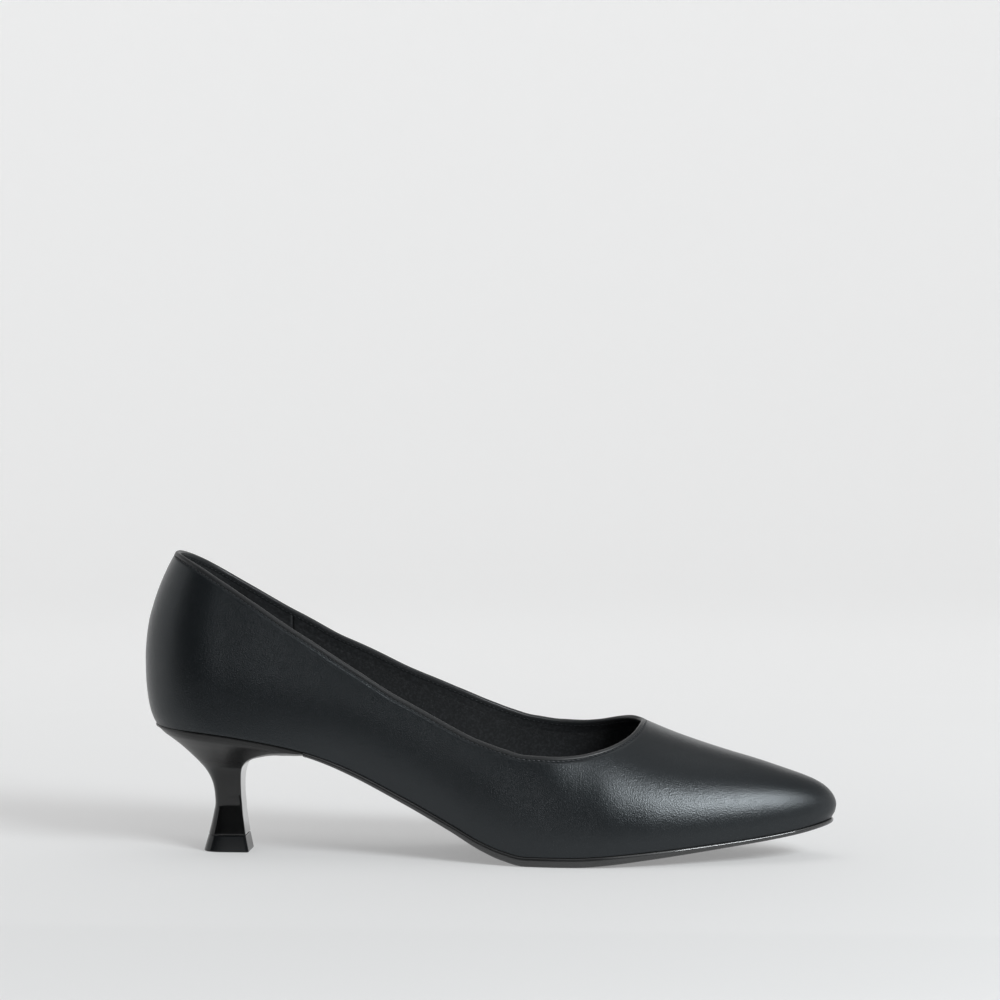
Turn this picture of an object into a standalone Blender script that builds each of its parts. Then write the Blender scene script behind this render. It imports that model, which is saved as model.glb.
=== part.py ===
# Kitten heel pump, right shoe, size 37 to 38, on a pointed last
#
# The shoe stands on the floor at Z = 0 with its toe along +X, its medial side
# along +Y and its lateral side along -Y. The origin is the centre of the top
# lift's ground face. Every height and length below is in metres. Stations along
# the shoe are measured from the backmost point of the counter, and are moved to
# the origin only when a mesh is made.

from collections import namedtuple
from math import asin, cos, hypot, pi, sin, sqrt

import bmesh
import bpy
from mathutils import Vector

# Overall sizes of the last and the upper
LENGTH = 0.2619
HEEL_HEIGHT = 0.0494
BACK_HEIGHT = 0.0647
VAMP_HEIGHT = 0.0451
TOE_SPRING = 0.0111
SEAT_WIDTH = 0.0510
BALL_WIDTH = 0.0760
THROAT_ALONG = 0.7224
UPPER_WALL = 0.0018
RIM_CROWN = 0.0007

# Insole, outsole, heel and top lift
INSOLE_THICKNESS = 0.0026
SOLE_THICKNESS = 0.0036
SOLE_LEDGE = 0.0003
SOLE_EDGE_BEVEL = 0.0005
SOLE_UNDERCUT = 0.0012
SHANK_CROWN = 0.0028
SEAT_LENGTH = 0.0629
BREAST_LIP = 0.0012
LIFT_STATION = 0.0221
LIFT_LENGTH = 0.0178
LIFT_WIDTH = 0.0145
LIFT_HEIGHT = 0.0063
EDGE_CHAMFER = 0.0007
LIFT_BEVEL = 0.0004

# Clearances between neighbours
SEAM_GAP = 0.0003
INSOLE_CLEARANCE = 0.0004

# Where the plan outline turns round the heel and where the toe begins
HEEL_TURN = 0.128 * LENGTH
TOE_TURN = 0.853 * LENGTH
THROAT_STATION = THROAT_ALONG * LENGTH
THROAT_FOOT = THROAT_STATION + 0.2 * (TOE_TURN - THROAT_STATION)
HEEL_ROUNDNESS = 2.1
TUCK_SHARPNESS = 6
STEM_SQUARENESS = 2.7
STEM_TURN = 0.55
SEAT_BOW = 0.8

# How the toe's sides carry on from the last section: the taper is taken over a
# short step, and the shoulder stays between two shares of the side's half width
TAPER_STEP = 0.002
SHOULDER_LEAST = 0.3
SHOULDER_MOST = 0.9

# How many faces each form gets
HEEL_COLUMNS = 9
QUARTER_COLUMNS = 23
VAMP_COLUMNS = 5
TOE_COLUMNS = 8
WALL_ROWS = 15
STEM_TURN_FACES = 7
STEM_SIDE_FACES = 4
ACROSS = 6
PLATE_HEEL_FACES = 7
PLATE_RUN_FACES = 16
PLATE_BALL_FACES = 5
INSOLE_TOE_FACES = 6
SOLE_TOE_FACES = 8
BALL_STOP = 0.70 * LENGTH
TOPLINE_SAMPLES = 400
HEIGHT_STEPS = 12
SHARP_ANGLE = 0.7
TINY = 1e-6

# Colours and roughness of the plain materials
LEATHER_COLOUR = (0.012, 0.015, 0.017)
LEATHER_ROUGHNESS = 0.36
INSOLE_COLOUR = (0.020, 0.020, 0.022)
INSOLE_ROUGHNESS = 0.80
SOLE_COLOUR = (0.012, 0.012, 0.013)
SOLE_ROUGHNESS = 0.42
LACQUER_COLOUR = (0.010, 0.011, 0.012)
LACQUER_ROUGHNESS = 0.12
LIFT_COLOUR = (0.012, 0.014, 0.016)
LIFT_ROUGHNESS = 0.40

LATERAL = -1
MEDIAL = 1

BALL_LEVEL = SOLE_THICKNESS + SEAM_GAP
SEAT_RISE = HEEL_HEIGHT - BALL_LEVEL
LIFT_CENTRE = LIFT_STATION + LIFT_LENGTH / 2

# The feather line, where the upper turns under the last: a rise is a share of
# the seat's height over the ball, and a spring a share of the toe spring
Feather = namedtuple("Feather", "along rise spring")
FEATHER_LINE = [
    Feather(0.000, 1.010, 0.00),
    Feather(0.0145, 1.000, 0.00),
    Feather(0.034, 0.986, 0.00),
    Feather(0.059, 0.976, 0.00),
    Feather(0.092, 0.962, 0.00),
    Feather(0.128, 0.938, 0.00),
    Feather(0.166, 0.904, 0.00),
    Feather(0.200, 0.868, 0.00),
    Feather(0.240, 0.815, 0.00),
    Feather(0.277, 0.745, 0.00),
    Feather(0.309, 0.668, 0.00),
    Feather(0.380, 0.462, 0.00),
    Feather(0.452, 0.242, 0.00),
    Feather(0.495, 0.110, 0.00),
    Feather(0.527, 0.040, 0.00),
    Feather(0.560, 0.000, 0.00),
    Feather(0.630, 0.000, 0.00),
    Feather(0.666, 0.000, 0.05),
    Feather(0.735, 0.000, 0.19),
    Feather(0.805, 0.000, 0.35),
    Feather(0.876, 0.000, 0.53),
    Feather(0.947, 0.000, 0.77),
    Feather(0.994, 0.000, 1.00),
]

# Sections of the last: half widths are shares of the named width in the row, at
# the feather line and at the widest part of the wall. The cone is the height of
# the whole last over the feather line, as a share of the named height, and lean
# is how far its top lies to the medial side, as a share of the width
Section = namedtuple(
    "Section", "along width sole_lateral sole_medial wall_lateral wall_medial height cone lean fullness"
)
SECTIONS = [
    Section(0.128, SEAT_WIDTH, 0.500, 0.500, 0.545, 0.545, BACK_HEIGHT, 1.500, 0.00, 2.00),
    Section(0.178, SEAT_WIDTH, 0.516, 0.504, 0.565, 0.555, BACK_HEIGHT, 1.500, 0.02, 2.05),
    Section(0.235, SEAT_WIDTH, 0.510, 0.476, 0.575, 0.545, BACK_HEIGHT, 1.460, 0.04, 2.10),
    Section(0.311, SEAT_WIDTH, 0.490, 0.424, 0.580, 0.525, BACK_HEIGHT, 1.354, 0.06, 2.15),
    Section(0.388, BALL_WIDTH, 0.340, 0.267, 0.400, 0.347, BACK_HEIGHT, 1.289, 0.05, 2.20),
    Section(0.449, BALL_WIDTH, 0.374, 0.293, 0.424, 0.363, VAMP_HEIGHT, 1.780, 0.05, 2.20),
    Section(0.495, BALL_WIDTH, 0.413, 0.346, 0.450, 0.395, VAMP_HEIGHT, 1.735, 0.05, 2.20),
    Section(0.525, BALL_WIDTH, 0.438, 0.382, 0.471, 0.425, VAMP_HEIGHT, 1.670, 0.05, 2.20),
    Section(0.567, BALL_WIDTH, 0.466, 0.426, 0.492, 0.458, VAMP_HEIGHT, 1.540, 0.05, 2.20),
    Section(0.609, BALL_WIDTH, 0.482, 0.458, 0.505, 0.484, VAMP_HEIGHT, 1.382, 0.05, 2.20),
    Section(0.662, BALL_WIDTH, 0.482, 0.474, 0.503, 0.495, VAMP_HEIGHT, 1.190, 0.05, 2.20),
    Section(0.722, BALL_WIDTH, 0.455, 0.455, 0.476, 0.476, VAMP_HEIGHT, 1.000, 0.05, 2.20),
    Section(0.769, BALL_WIDTH, 0.416, 0.413, 0.437, 0.434, VAMP_HEIGHT, 0.866, 0.035, 2.20),
    Section(0.815, BALL_WIDTH, 0.367, 0.362, 0.388, 0.383, VAMP_HEIGHT, 0.752, 0.015, 2.20),
    Section(0.853, BALL_WIDTH, 0.321, 0.313, 0.342, 0.334, VAMP_HEIGHT, 0.664, 0.00, 2.20),
]

# The counter's back profile: the height is a share of the back height over the
# seat, and the setback a share of it in from the backmost point
BackPoint = namedtuple("BackPoint", "height setback")
BACK_PROFILE = [
    BackPoint(-0.10, 0.105),
    BackPoint(0.00, 0.059),
    BackPoint(0.025, 0.046),
    BackPoint(0.07, 0.029),
    BackPoint(0.15, 0.013),
    BackPoint(0.265, 0.002),
    BackPoint(0.385, 0.000),
    BackPoint(0.475, 0.005),
    BackPoint(0.59, 0.020),
    BackPoint(0.70, 0.049),
    BackPoint(0.79, 0.080),
    BackPoint(0.92, 0.138),
    BackPoint(1.00, 0.182),
]

# The nose seen from the side: height is a share of the last's height where the
# toe begins, and reach a share of the toe's length ahead of that
NosePoint = namedtuple("NosePoint", "height reach")
NOSE_PROFILE = [
    NosePoint(-0.05, 0.900),
    NosePoint(0.00, 0.922),
    NosePoint(0.20, 0.958),
    NosePoint(0.27, 0.987),
    NosePoint(0.36, 1.000),
    NosePoint(0.445, 0.982),
    NosePoint(0.53, 0.938),
    NosePoint(0.59, 0.888),
    NosePoint(0.665, 0.792),
    NosePoint(0.718, 0.695),
    NosePoint(0.806, 0.497),
    NosePoint(0.928, 0.203),
    NosePoint(1.00, 0.000),
]

# The topline on each side, as shares of the named height over the feather line
Topline = namedtuple("Topline", "along height rise")
LATERAL_TOPLINE = [
    Topline(0.046, BACK_HEIGHT, 1.012),
    Topline(0.059, BACK_HEIGHT, 0.997),
    Topline(0.088, BACK_HEIGHT, 0.951),
    Topline(0.120, BACK_HEIGHT, 0.888),
    Topline(0.165, BACK_HEIGHT, 0.799),
    Topline(0.237, BACK_HEIGHT, 0.670),
    Topline(0.310, BACK_HEIGHT, 0.590),
    Topline(0.382, BACK_HEIGHT, 0.558),
    Topline(0.453, VAMP_HEIGHT, 0.799),
    Topline(0.524, VAMP_HEIGHT, 0.824),
    Topline(0.566, VAMP_HEIGHT, 0.813),
    Topline(0.608, VAMP_HEIGHT, 0.803),
    Topline(0.636, VAMP_HEIGHT, 0.814),
    Topline(0.664, VAMP_HEIGHT, 0.838),
    Topline(0.691, VAMP_HEIGHT, 0.880),
    Topline(0.711, VAMP_HEIGHT, 0.938),
    Topline(THROAT_ALONG, VAMP_HEIGHT, 1.000),
]
MEDIAL_TOPLINE = [
    Topline(0.046, BACK_HEIGHT, 1.012),
    Topline(0.070, BACK_HEIGHT, 0.963),
    Topline(0.097, BACK_HEIGHT, 0.906),
    Topline(0.139, BACK_HEIGHT, 0.826),
    Topline(0.210, BACK_HEIGHT, 0.713),
    Topline(0.285, BACK_HEIGHT, 0.646),
    Topline(0.359, BACK_HEIGHT, 0.650),
    Topline(0.433, VAMP_HEIGHT, 0.977),
    Topline(0.507, VAMP_HEIGHT, 1.018),
    Topline(0.552, VAMP_HEIGHT, 1.006),
    Topline(0.597, VAMP_HEIGHT, 0.971),
    Topline(0.627, VAMP_HEIGHT, 0.967),
    Topline(0.657, VAMP_HEIGHT, 0.975),
    Topline(0.684, VAMP_HEIGHT, 1.001),
    Topline(0.705, VAMP_HEIGHT, 1.017),
    Topline(THROAT_ALONG, VAMP_HEIGHT, 1.000),
]

# The outsole's thickness and the crown across its underside, as shares
SoleBand = namedtuple("SoleBand", "along thickness crown")
SOLE_BANDS = [
    SoleBand(0.000, 0.42, 0.30),
    SoleBand(0.100, 0.42, 0.60),
    SoleBand(0.200, 0.42, 1.00),
    SoleBand(0.230, 0.42, 1.00),
    SoleBand(0.310, 0.60, 0.80),
    SoleBand(0.450, 0.76, 0.35),
    SoleBand(0.520, 0.96, 0.05),
    SoleBand(0.545, 1.00, 0.00),
    SoleBand(0.645, 1.00, 0.00),
    SoleBand(0.735, 0.82, 0.00),
    SoleBand(0.805, 0.66, 0.00),
    SoleBand(0.876, 0.54, 0.00),
    SoleBand(0.994, 0.50, 0.00),
]

# Rings of the heel block from the seat down to the top lift. The back and front
# heights are shares of the seat's height there. Back, front and width say how
# much wider than the top lift the ring is, as shares of what the seat is wider
HeelRing = namedtuple("HeelRing", "back_height front_height back front width sag")
HEEL_RINGS = [
    HeelRing(0.962, 0.950, 0.923, 0.783, 0.973, 1.15),
    HeelRing(0.931, 0.928, 0.836, 0.617, 0.918, 1.10),
    HeelRing(0.891, 0.898, 0.689, 0.443, 0.808, 0.86),
    HeelRing(0.836, 0.855, 0.497, 0.252, 0.633, 0.64),
    HeelRing(0.763, 0.798, 0.279, 0.057, 0.414, 0.36),
    HeelRing(0.688, 0.742, 0.082, -0.048, 0.227, 0.10),
    HeelRing(0.634, 0.693, -0.038, -0.100, 0.123, 0.00),
    HeelRing(0.579, 0.639, -0.126, -0.122, 0.052, 0.00),
    HeelRing(0.516, 0.565, -0.191, -0.130, 0.003, 0.00),
    HeelRing(0.445, 0.478, -0.224, -0.126, -0.025, 0.00),
    HeelRing(0.374, 0.402, -0.235, -0.113, -0.036, 0.00),
    HeelRing(0.298, 0.320, -0.202, -0.100, -0.036, 0.00),
    HeelRing(0.223, 0.239, -0.158, -0.078, -0.025, 0.00),
]
STEM_FOOT = HeelRing(0, 0, -0.098, -0.052, -0.008, 0.0)
LIFT_TOP = HeelRing(0, 0, -0.094, -0.050, -0.007, 0.0)
GROUND_RING = HeelRing(0, 0, 0.0, 0.0, 0.0, 0.0)


def smooth_curve(stations, values):
    """A smooth curve through the values, with no overshoot between them."""
    steps = [b - a for a, b in zip(stations, stations[1:])]
    slopes = [(b - a) / h for a, b, h in zip(values, values[1:], steps)]
    tangents = [slopes[0]]
    for before, after, h_before, h_after in zip(slopes, slopes[1:], steps, steps[1:]):
        if before * after <= 0:
            tangents.append(0.0)
            continue
        near = 2 * h_after + h_before
        far = h_after + 2 * h_before
        tangents.append((near + far) / (near / before + far / after))
    tangents.append(slopes[-1])

    def value_at(station):
        if station <= stations[0]:
            return values[0] + tangents[0] * (station - stations[0])
        if station >= stations[-1]:
            return values[-1] + tangents[-1] * (station - stations[-1])
        cell = max(i for i, start in enumerate(stations) if start <= station)
        h = steps[cell]
        t = (station - stations[cell]) / h
        start_weight = (1 + 2 * t) * (1 - t) ** 2
        end_weight = t * t * (3 - 2 * t)
        start_pull = t * (1 - t) ** 2 * h
        end_pull = t * t * (t - 1) * h
        level = start_weight * values[cell] + end_weight * values[cell + 1]
        return level + start_pull * tangents[cell] + end_pull * tangents[cell + 1]

    return value_at


def curve_of(rows, value):
    """A smooth curve of one column of a table, over the length of the shoe."""
    return smooth_curve([row.along * LENGTH for row in rows], [value(row) for row in rows])


def mix(a, b, share):
    return a + (b - a) * share


feather_height = curve_of(
    FEATHER_LINE, lambda row: BALL_LEVEL + row.rise * SEAT_RISE + row.spring * TOE_SPRING
)
sole_half = {
    LATERAL: curve_of(SECTIONS, lambda row: row.width * row.sole_lateral),
    MEDIAL: curve_of(SECTIONS, lambda row: row.width * row.sole_medial),
}
wall_half = {
    LATERAL: curve_of(SECTIONS, lambda row: row.width * row.wall_lateral),
    MEDIAL: curve_of(SECTIONS, lambda row: row.width * row.wall_medial),
}
cone_height = curve_of(SECTIONS, lambda row: row.height * row.cone)
cone_lean = curve_of(SECTIONS, lambda row: row.width * row.lean)
cone_fullness = curve_of(SECTIONS, lambda row: row.fullness)
topline_rise = {
    LATERAL: curve_of(LATERAL_TOPLINE, lambda row: row.height * row.rise),
    MEDIAL: curve_of(MEDIAL_TOPLINE, lambda row: row.height * row.rise),
}
sole_thickness = curve_of(SOLE_BANDS, lambda row: row.thickness * SOLE_THICKNESS)
shank_crown = curve_of(SOLE_BANDS, lambda row: row.crown * SHANK_CROWN)
back_setback = smooth_curve(
    [HEEL_HEIGHT + row.height * BACK_HEIGHT for row in BACK_PROFILE],
    [row.setback * BACK_HEIGHT for row in BACK_PROFILE],
)

TOE_BASE = feather_height(TOE_TURN)
TOE_TOP = TOE_BASE + cone_height(TOE_TURN)
nose_reach = smooth_curve(
    [mix(TOE_BASE, TOE_TOP, row.height) for row in NOSE_PROFILE],
    [row.reach * (LENGTH - TOE_TURN) for row in NOSE_PROFILE],
)


def half_width(side, along, height):
    """Half the last's width at a station and a height over the floor."""
    share = (height - feather_height(along)) / cone_height(along)
    share = min(max(share, 0.0), 1.0)
    power = cone_fullness(along)
    round_over = (1 - share**power) ** (1 / power)
    tuck = (wall_half[side](along) - sole_half[side](along)) * (1 - share) ** TUCK_SHARPNESS
    lean = side * cone_lean(along) * share**2
    return wall_half[side](along) * round_over - tuck + lean


def toe_outline(side, turn, height):
    """The plan of the toe at one height, from its side (turn 0) to its tip (1)."""
    reach = max(nose_reach(height), 0.0)
    side_half = half_width(side, TOE_TURN, height)
    taper = (side_half - half_width(side, TOE_TURN - TAPER_STEP, height)) / TAPER_STEP
    shoulder = max(side_half + taper * reach, SHOULDER_LEAST * side_half)
    shoulder = min(shoulder, SHOULDER_MOST * side_half)
    along = reach * (2 * turn * (1 - turn) + turn**2)
    across = side_half * (1 - turn) ** 2 + 2 * shoulder * turn * (1 - turn)
    return TOE_TURN + along, across


def heel_outline(side, turn, height):
    """The plan of the heel at one height, from its back (turn 0) to its side (1)."""
    angle = turn * pi / 2
    reach = HEEL_TURN - back_setback(height)
    along = HEEL_TURN - reach * abs(cos(angle)) ** (2 / HEEL_ROUNDNESS)
    across = half_width(side, HEEL_TURN, height) * sin(angle) ** (2 / HEEL_ROUNDNESS)
    return along, across


def last_point(side, place, height):
    """A point of the last's surface. The place runs from the back of the heel at
    0 to the tip of the toe at LENGTH, and is the station between the two turns."""
    if place < HEEL_TURN:
        along, across = heel_outline(side, place / HEEL_TURN, height)
    elif place > TOE_TURN:
        turn = min((place - TOE_TURN) / (LENGTH - TOE_TURN), 1.0)
        along, across = toe_outline(side, turn, height)
    else:
        along, across = place, half_width(side, place, height)
    return Vector((along, side * across, height))


def feather_level(side, place):
    """The height of the feather line at a place round the last."""
    if HEEL_TURN <= place <= TOE_TURN:
        return feather_height(place)
    guess = HEEL_HEIGHT if place < HEEL_TURN else TOE_BASE + TOE_SPRING / 2
    for _ in range(HEIGHT_STEPS):
        guess = feather_height(last_point(side, place, guess).x)
    return guess


def cone_top(place):
    """The height at which the last closes over the foot at a place."""
    if place < HEEL_TURN:
        return feather_height(HEEL_TURN) + cone_height(HEEL_TURN)
    if place > TOE_TURN:
        return TOE_TOP
    return feather_height(place) + cone_height(place)


def wall_point(side, place, lift):
    """A point of the wall: lift is 0 at the feather line and pi / 2 at the ridge."""
    base = feather_level(side, place)
    power = cone_fullness(min(max(place, HEEL_TURN), TOE_TURN))
    height = base + (cone_top(place) - base) * sin(lift) ** (2 / power)
    return last_point(side, place, height)


def topline_height(side, place):
    """The height of the topline at a place behind the throat."""
    height = HEEL_HEIGHT + BACK_HEIGHT
    for _ in range(HEIGHT_STEPS):
        along = last_point(side, place, height).x
        height = feather_height(along) + topline_rise[side](along)
    return min(height, cone_top(place))


def topline_lift(side, place):
    """The lift at which the wall meets the topline."""
    base = feather_level(side, place)
    share = (topline_height(side, place) - base) / (cone_top(place) - base)
    power = cone_fullness(min(max(place, HEEL_TURN), TOE_TURN))
    return asin(min(share, 1.0) ** (power / 2))


def even_places(side, start, end, count):
    """Places that divide the topline between two places into equal lengths."""
    fine = TOPLINE_SAMPLES
    samples = [mix(start, end, i / fine) for i in range(fine + 1)]
    points = [last_point(side, place, topline_height(side, place)) for place in samples]
    run = [0.0]
    for before, after in zip(points, points[1:]):
        run.append(run[-1] + (after - before).length)
    places = []
    for i in range(count + 1):
        target = run[-1] * i / count
        cell = max(j for j, length in enumerate(run) if length <= target + TINY * LENGTH)
        if cell == fine:
            places.append(end)
            continue
        part = (target - run[cell]) / (run[cell + 1] - run[cell])
        places.append(mix(samples[cell], samples[cell + 1], part))
    return places


def wall_columns(side):
    """Each column of the upper: its place at the feather line, its place at the
    top, and whether the top is the topline, the ridge or the toe's own pole."""
    columns = []
    for i in range(HEEL_COLUMNS):
        place = HEEL_TURN * i / HEEL_COLUMNS
        columns.append((place, place, "topline"))
    tops = even_places(side, HEEL_TURN, THROAT_STATION, QUARTER_COLUMNS)
    for i, top in enumerate(tops[:-1]):
        foot = mix(HEEL_TURN, THROAT_FOOT, i / QUARTER_COLUMNS)
        columns.append((foot, top, "topline"))
    for i in range(VAMP_COLUMNS):
        foot = mix(THROAT_FOOT, TOE_TURN, i / VAMP_COLUMNS)
        top = mix(THROAT_STATION, TOE_TURN, i / VAMP_COLUMNS)
        columns.append((foot, top, "ridge"))
    for i in range(TOE_COLUMNS + 1):
        place = mix(TOE_TURN, LENGTH, i / TOE_COLUMNS)
        columns.append((place, place, "pole"))
    return columns


def column_points(side, foot, top, ending):
    """The points of one column of the upper, from the feather line up."""
    lift_end = topline_lift(side, top) if ending == "topline" else pi / 2
    points = []
    for row in range(WALL_ROWS + 1):
        share = row / WALL_ROWS
        points.append(wall_point(side, mix(foot, top, share), lift_end * share))
    return points


def placed(point):
    """Moves a point from its station along the shoe to the shoe's own origin."""
    return Vector((point.x - LIFT_CENTRE, point.y, point.z))


def new_object(name, mesh, material):
    mesh.materials.append(material)
    thing = bpy.data.objects.new(name, mesh)
    bpy.context.scene.collection.objects.link(thing)
    mesh.shade_smooth()
    mesh.set_sharp_from_angle(angle=SHARP_ANGLE)
    return thing


def new_material(name, colour, roughness):
    material = bpy.data.materials.new(name)
    material.use_nodes = True
    shader = material.node_tree.nodes["Principled BSDF"]
    shader.inputs["Base Color"].default_value = (*colour, 1.0)
    shader.inputs["Roughness"].default_value = roughness
    return material


def finish_mesh(name, bm):
    """A closed mesh of triangles with its faces looking outward."""
    bmesh.ops.triangulate(bm, faces=bm.faces[:])
    bmesh.ops.recalc_face_normals(bm, faces=bm.faces[:])
    if bm.calc_volume(signed=True) < 0:
        bmesh.ops.reverse_faces(bm, faces=bm.faces[:])
    mesh = bpy.data.meshes.new(name)
    bm.to_mesh(mesh)
    bm.free()
    return mesh


def outer_wall(bm):
    """The outside of the upper, as a grid of vertices for each side."""
    grids = {}
    shared_tops = {}
    for side in (LATERAL, MEDIAL):
        columns = wall_columns(side)
        grid = []
        for i, (foot, top, ending) in enumerate(columns):
            shared_column = i in (0, len(columns) - 1)
            if shared_column and side == MEDIAL:
                grid.append(grids[LATERAL][i])
                continue
            points = column_points(side, foot, top, ending)
            verts = [bm.verts.new(placed(point)) for point in points[:-1]]
            end = {"topline": (side, i), "ridge": i, "pole": "pole"}[ending]
            if end not in shared_tops:
                shared_tops[end] = bm.verts.new(placed(points[-1]))
            verts.append(shared_tops[end])
            grid.append(verts)
        grids[side] = grid
    return grids


def bridge(bm, corners, flip):
    """A face over the corners, with a corner that comes twice left out."""
    ring = []
    for vert in corners:
        if vert not in ring:
            ring.append(vert)
    if len(ring) > 2:
        bm.faces.new(ring[::-1] if flip else ring)


def grid_faces(bm, grids, flip):
    for side, grid in grids.items():
        for column, following in zip(grid, grid[1:]):
            for row in range(WALL_ROWS):
                corners = [column[row], following[row], following[row + 1], column[row + 1]]
                bridge(bm, corners, flip != (side == MEDIAL))


def rim_loop(grids, row, closed_columns):
    """The vertices round one rim, out along the lateral side and back."""
    count = closed_columns if closed_columns else len(grids[LATERAL])
    out = [column[row] for column in grids[LATERAL][:count]]
    back = [column[row] for column in grids[MEDIAL][:count]]
    return out + back[-2:0:-1]


def make_upper(material):
    """The upper: a wall of one thickness, open underneath and at the topline."""
    bm = bmesh.new()
    outer = outer_wall(bm)
    grid_faces(bm, outer, False)
    bmesh.ops.recalc_face_normals(bm, faces=bm.faces[:])
    bm.normal_update()
    lateral_probe = outer[LATERAL][len(outer[LATERAL]) // 2][WALL_ROWS // 3]
    outward = -1 if lateral_probe.normal.y > 0 else 1
    normals = {vert: vert.normal * outward for vert in bm.verts}
    for grid in outer.values():
        for column in grid:
            normals[column[0]].z = 0.0
            normals[column[0]].normalize()
    inner_vert = {vert: bm.verts.new(vert.co - normal * UPPER_WALL) for vert, normal in normals.items()}
    inner = {side: [[inner_vert[v] for v in column] for column in grid] for side, grid in outer.items()}
    grid_faces(bm, inner, True)

    throat = HEEL_COLUMNS + QUARTER_COLUMNS + 1
    top_out = rim_loop(outer, WALL_ROWS, throat)
    below = rim_loop(outer, WALL_ROWS - 1, throat)
    top_in = rim_loop(inner, WALL_ROWS, throat)
    crown = []
    for out, under, into in zip(top_out, below, top_in):
        upward = (out.co - under.co).normalized()
        crown.append(bm.verts.new((out.co + into.co) / 2 + upward * RIM_CROWN))
    join_loops(bm, top_out, crown)
    join_loops(bm, crown, top_in)
    join_loops(bm, rim_loop(outer, 0, 0), rim_loop(inner, 0, 0))
    return new_object("upper", finish_mesh("upper", bm), material)


def join_loops(bm, loop, other):
    """A band of faces between two loops of as many vertices."""
    count = len(loop)
    for i in range(count):
        j = (i + 1) % count
        bm.faces.new([loop[i], loop[j], other[j], other[i]])


def outline(places, inset):
    """The feather line's plan at the places, drawn in by the inset: for each
    place its lateral and its medial point, at the feather line's height."""
    sides = {}
    for side in (LATERAL, MEDIAL):
        line = [last_point(side, place, feather_level(side, place)) for place in places]
        drawn = []
        for i, point in enumerate(line):
            before = line[max(i - 1, 0)]
            after = line[min(i + 1, len(line) - 1)]
            if i == 0 and places[0] == 0.0:
                before = Vector((after.x, -after.y, after.z))
            if i == len(line) - 1:
                after = Vector((before.x, -before.y, before.z))
            run = Vector((after.x - before.x, after.y - before.y))
            size = hypot(run.x, run.y)
            inward = Vector((side * run.y, -side * run.x, 0.0)) / size
            drawn.append(point + inward * inset)
        sides[side] = drawn
    return sides


def plate_rows(sides, level, crown):
    """Rows of points across a plate. Level gives the height of its edge and
    crown how far its middle hangs below that, each from the feather point."""
    rows = []
    for lateral, medial in zip(sides[LATERAL], sides[MEDIAL]):
        if abs(lateral.y - medial.y) < TINY:
            rows.append([Vector((lateral.x, 0.0, level(lateral)))])
            continue
        row = []
        for i in range(ACROSS + 1):
            share = i / ACROSS
            point = lateral.lerp(medial, share)
            hang = crown(point) * 4 * share * (1 - share)
            row.append(Vector((point.x, point.y, mix(level(lateral), level(medial), share) - hang)))
        rows.append(row)
    return rows


def layered_solid(name, layers, material):
    """A solid from layers of rows. The first and last layers are capped, and
    the layers between them only shape the side."""
    bm = bmesh.new()
    grids = []
    for number, rows in enumerate(layers):
        capped = number in (0, len(layers) - 1)
        grid = []
        for r, row in enumerate(rows):
            verts = []
            for c, point in enumerate(row):
                edge_row = r in (0, len(rows) - 1)
                edge_point = c in (0, len(row) - 1)
                wanted = capped or edge_row or edge_point
                verts.append(bm.verts.new(placed(point)) if wanted else None)
            grid.append(verts)
        grids.append(grid)
    for grid in (grids[0], grids[-1]):
        for row, following in zip(grid, grid[1:]):
            cap_strip(bm, row, following)
    loops = [border(grid) for grid in grids]
    for loop, following in zip(loops, loops[1:]):
        join_loops(bm, loop, following)
    return new_object(name, finish_mesh(name, bm), material)


def cap_strip(bm, row, following):
    """The faces of a cap between two rows."""
    for i in range(ACROSS):
        if len(row) == 1:
            bm.faces.new([row[0], following[i], following[i + 1]])
        elif len(following) == 1:
            bm.faces.new([row[i], following[0], row[i + 1]])
        else:
            bm.faces.new([row[i], following[i], following[i + 1], row[i + 1]])


def border(grid):
    """The vertices round a grid of rows: lateral, front, medial, back."""
    loop = [row[0] for row in grid[:-1]]
    loop += grid[-1]
    loop += [row[-1] for row in reversed(grid[:-1]) if len(row) > 1]
    if len(grid[0]) > 1:
        loop += grid[0][-2:0:-1]
    return loop


def make_insole(material):
    """The insole: a thin plate inside the wall, at the feather line."""
    places = [HEEL_TURN * i / PLATE_HEEL_FACES for i in range(PLATE_HEEL_FACES)]
    places += [mix(HEEL_TURN, TOE_TURN, i / PLATE_RUN_FACES) for i in range(PLATE_RUN_FACES)]
    places += [mix(TOE_TURN, LENGTH, i / INSOLE_TOE_FACES) for i in range(INSOLE_TOE_FACES + 1)]
    inset = UPPER_WALL + INSOLE_CLEARANCE

    def level(over):
        return lambda point: feather_height(point.x) + over

    def crown(point):
        return shank_crown(point.x)

    sides = outline(places, inset)
    top = plate_rows(sides, level(INSOLE_THICKNESS), crown)
    bottom = plate_rows(sides, level(0.0), crown)
    return layered_solid("insole", [top, bottom], material)


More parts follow.
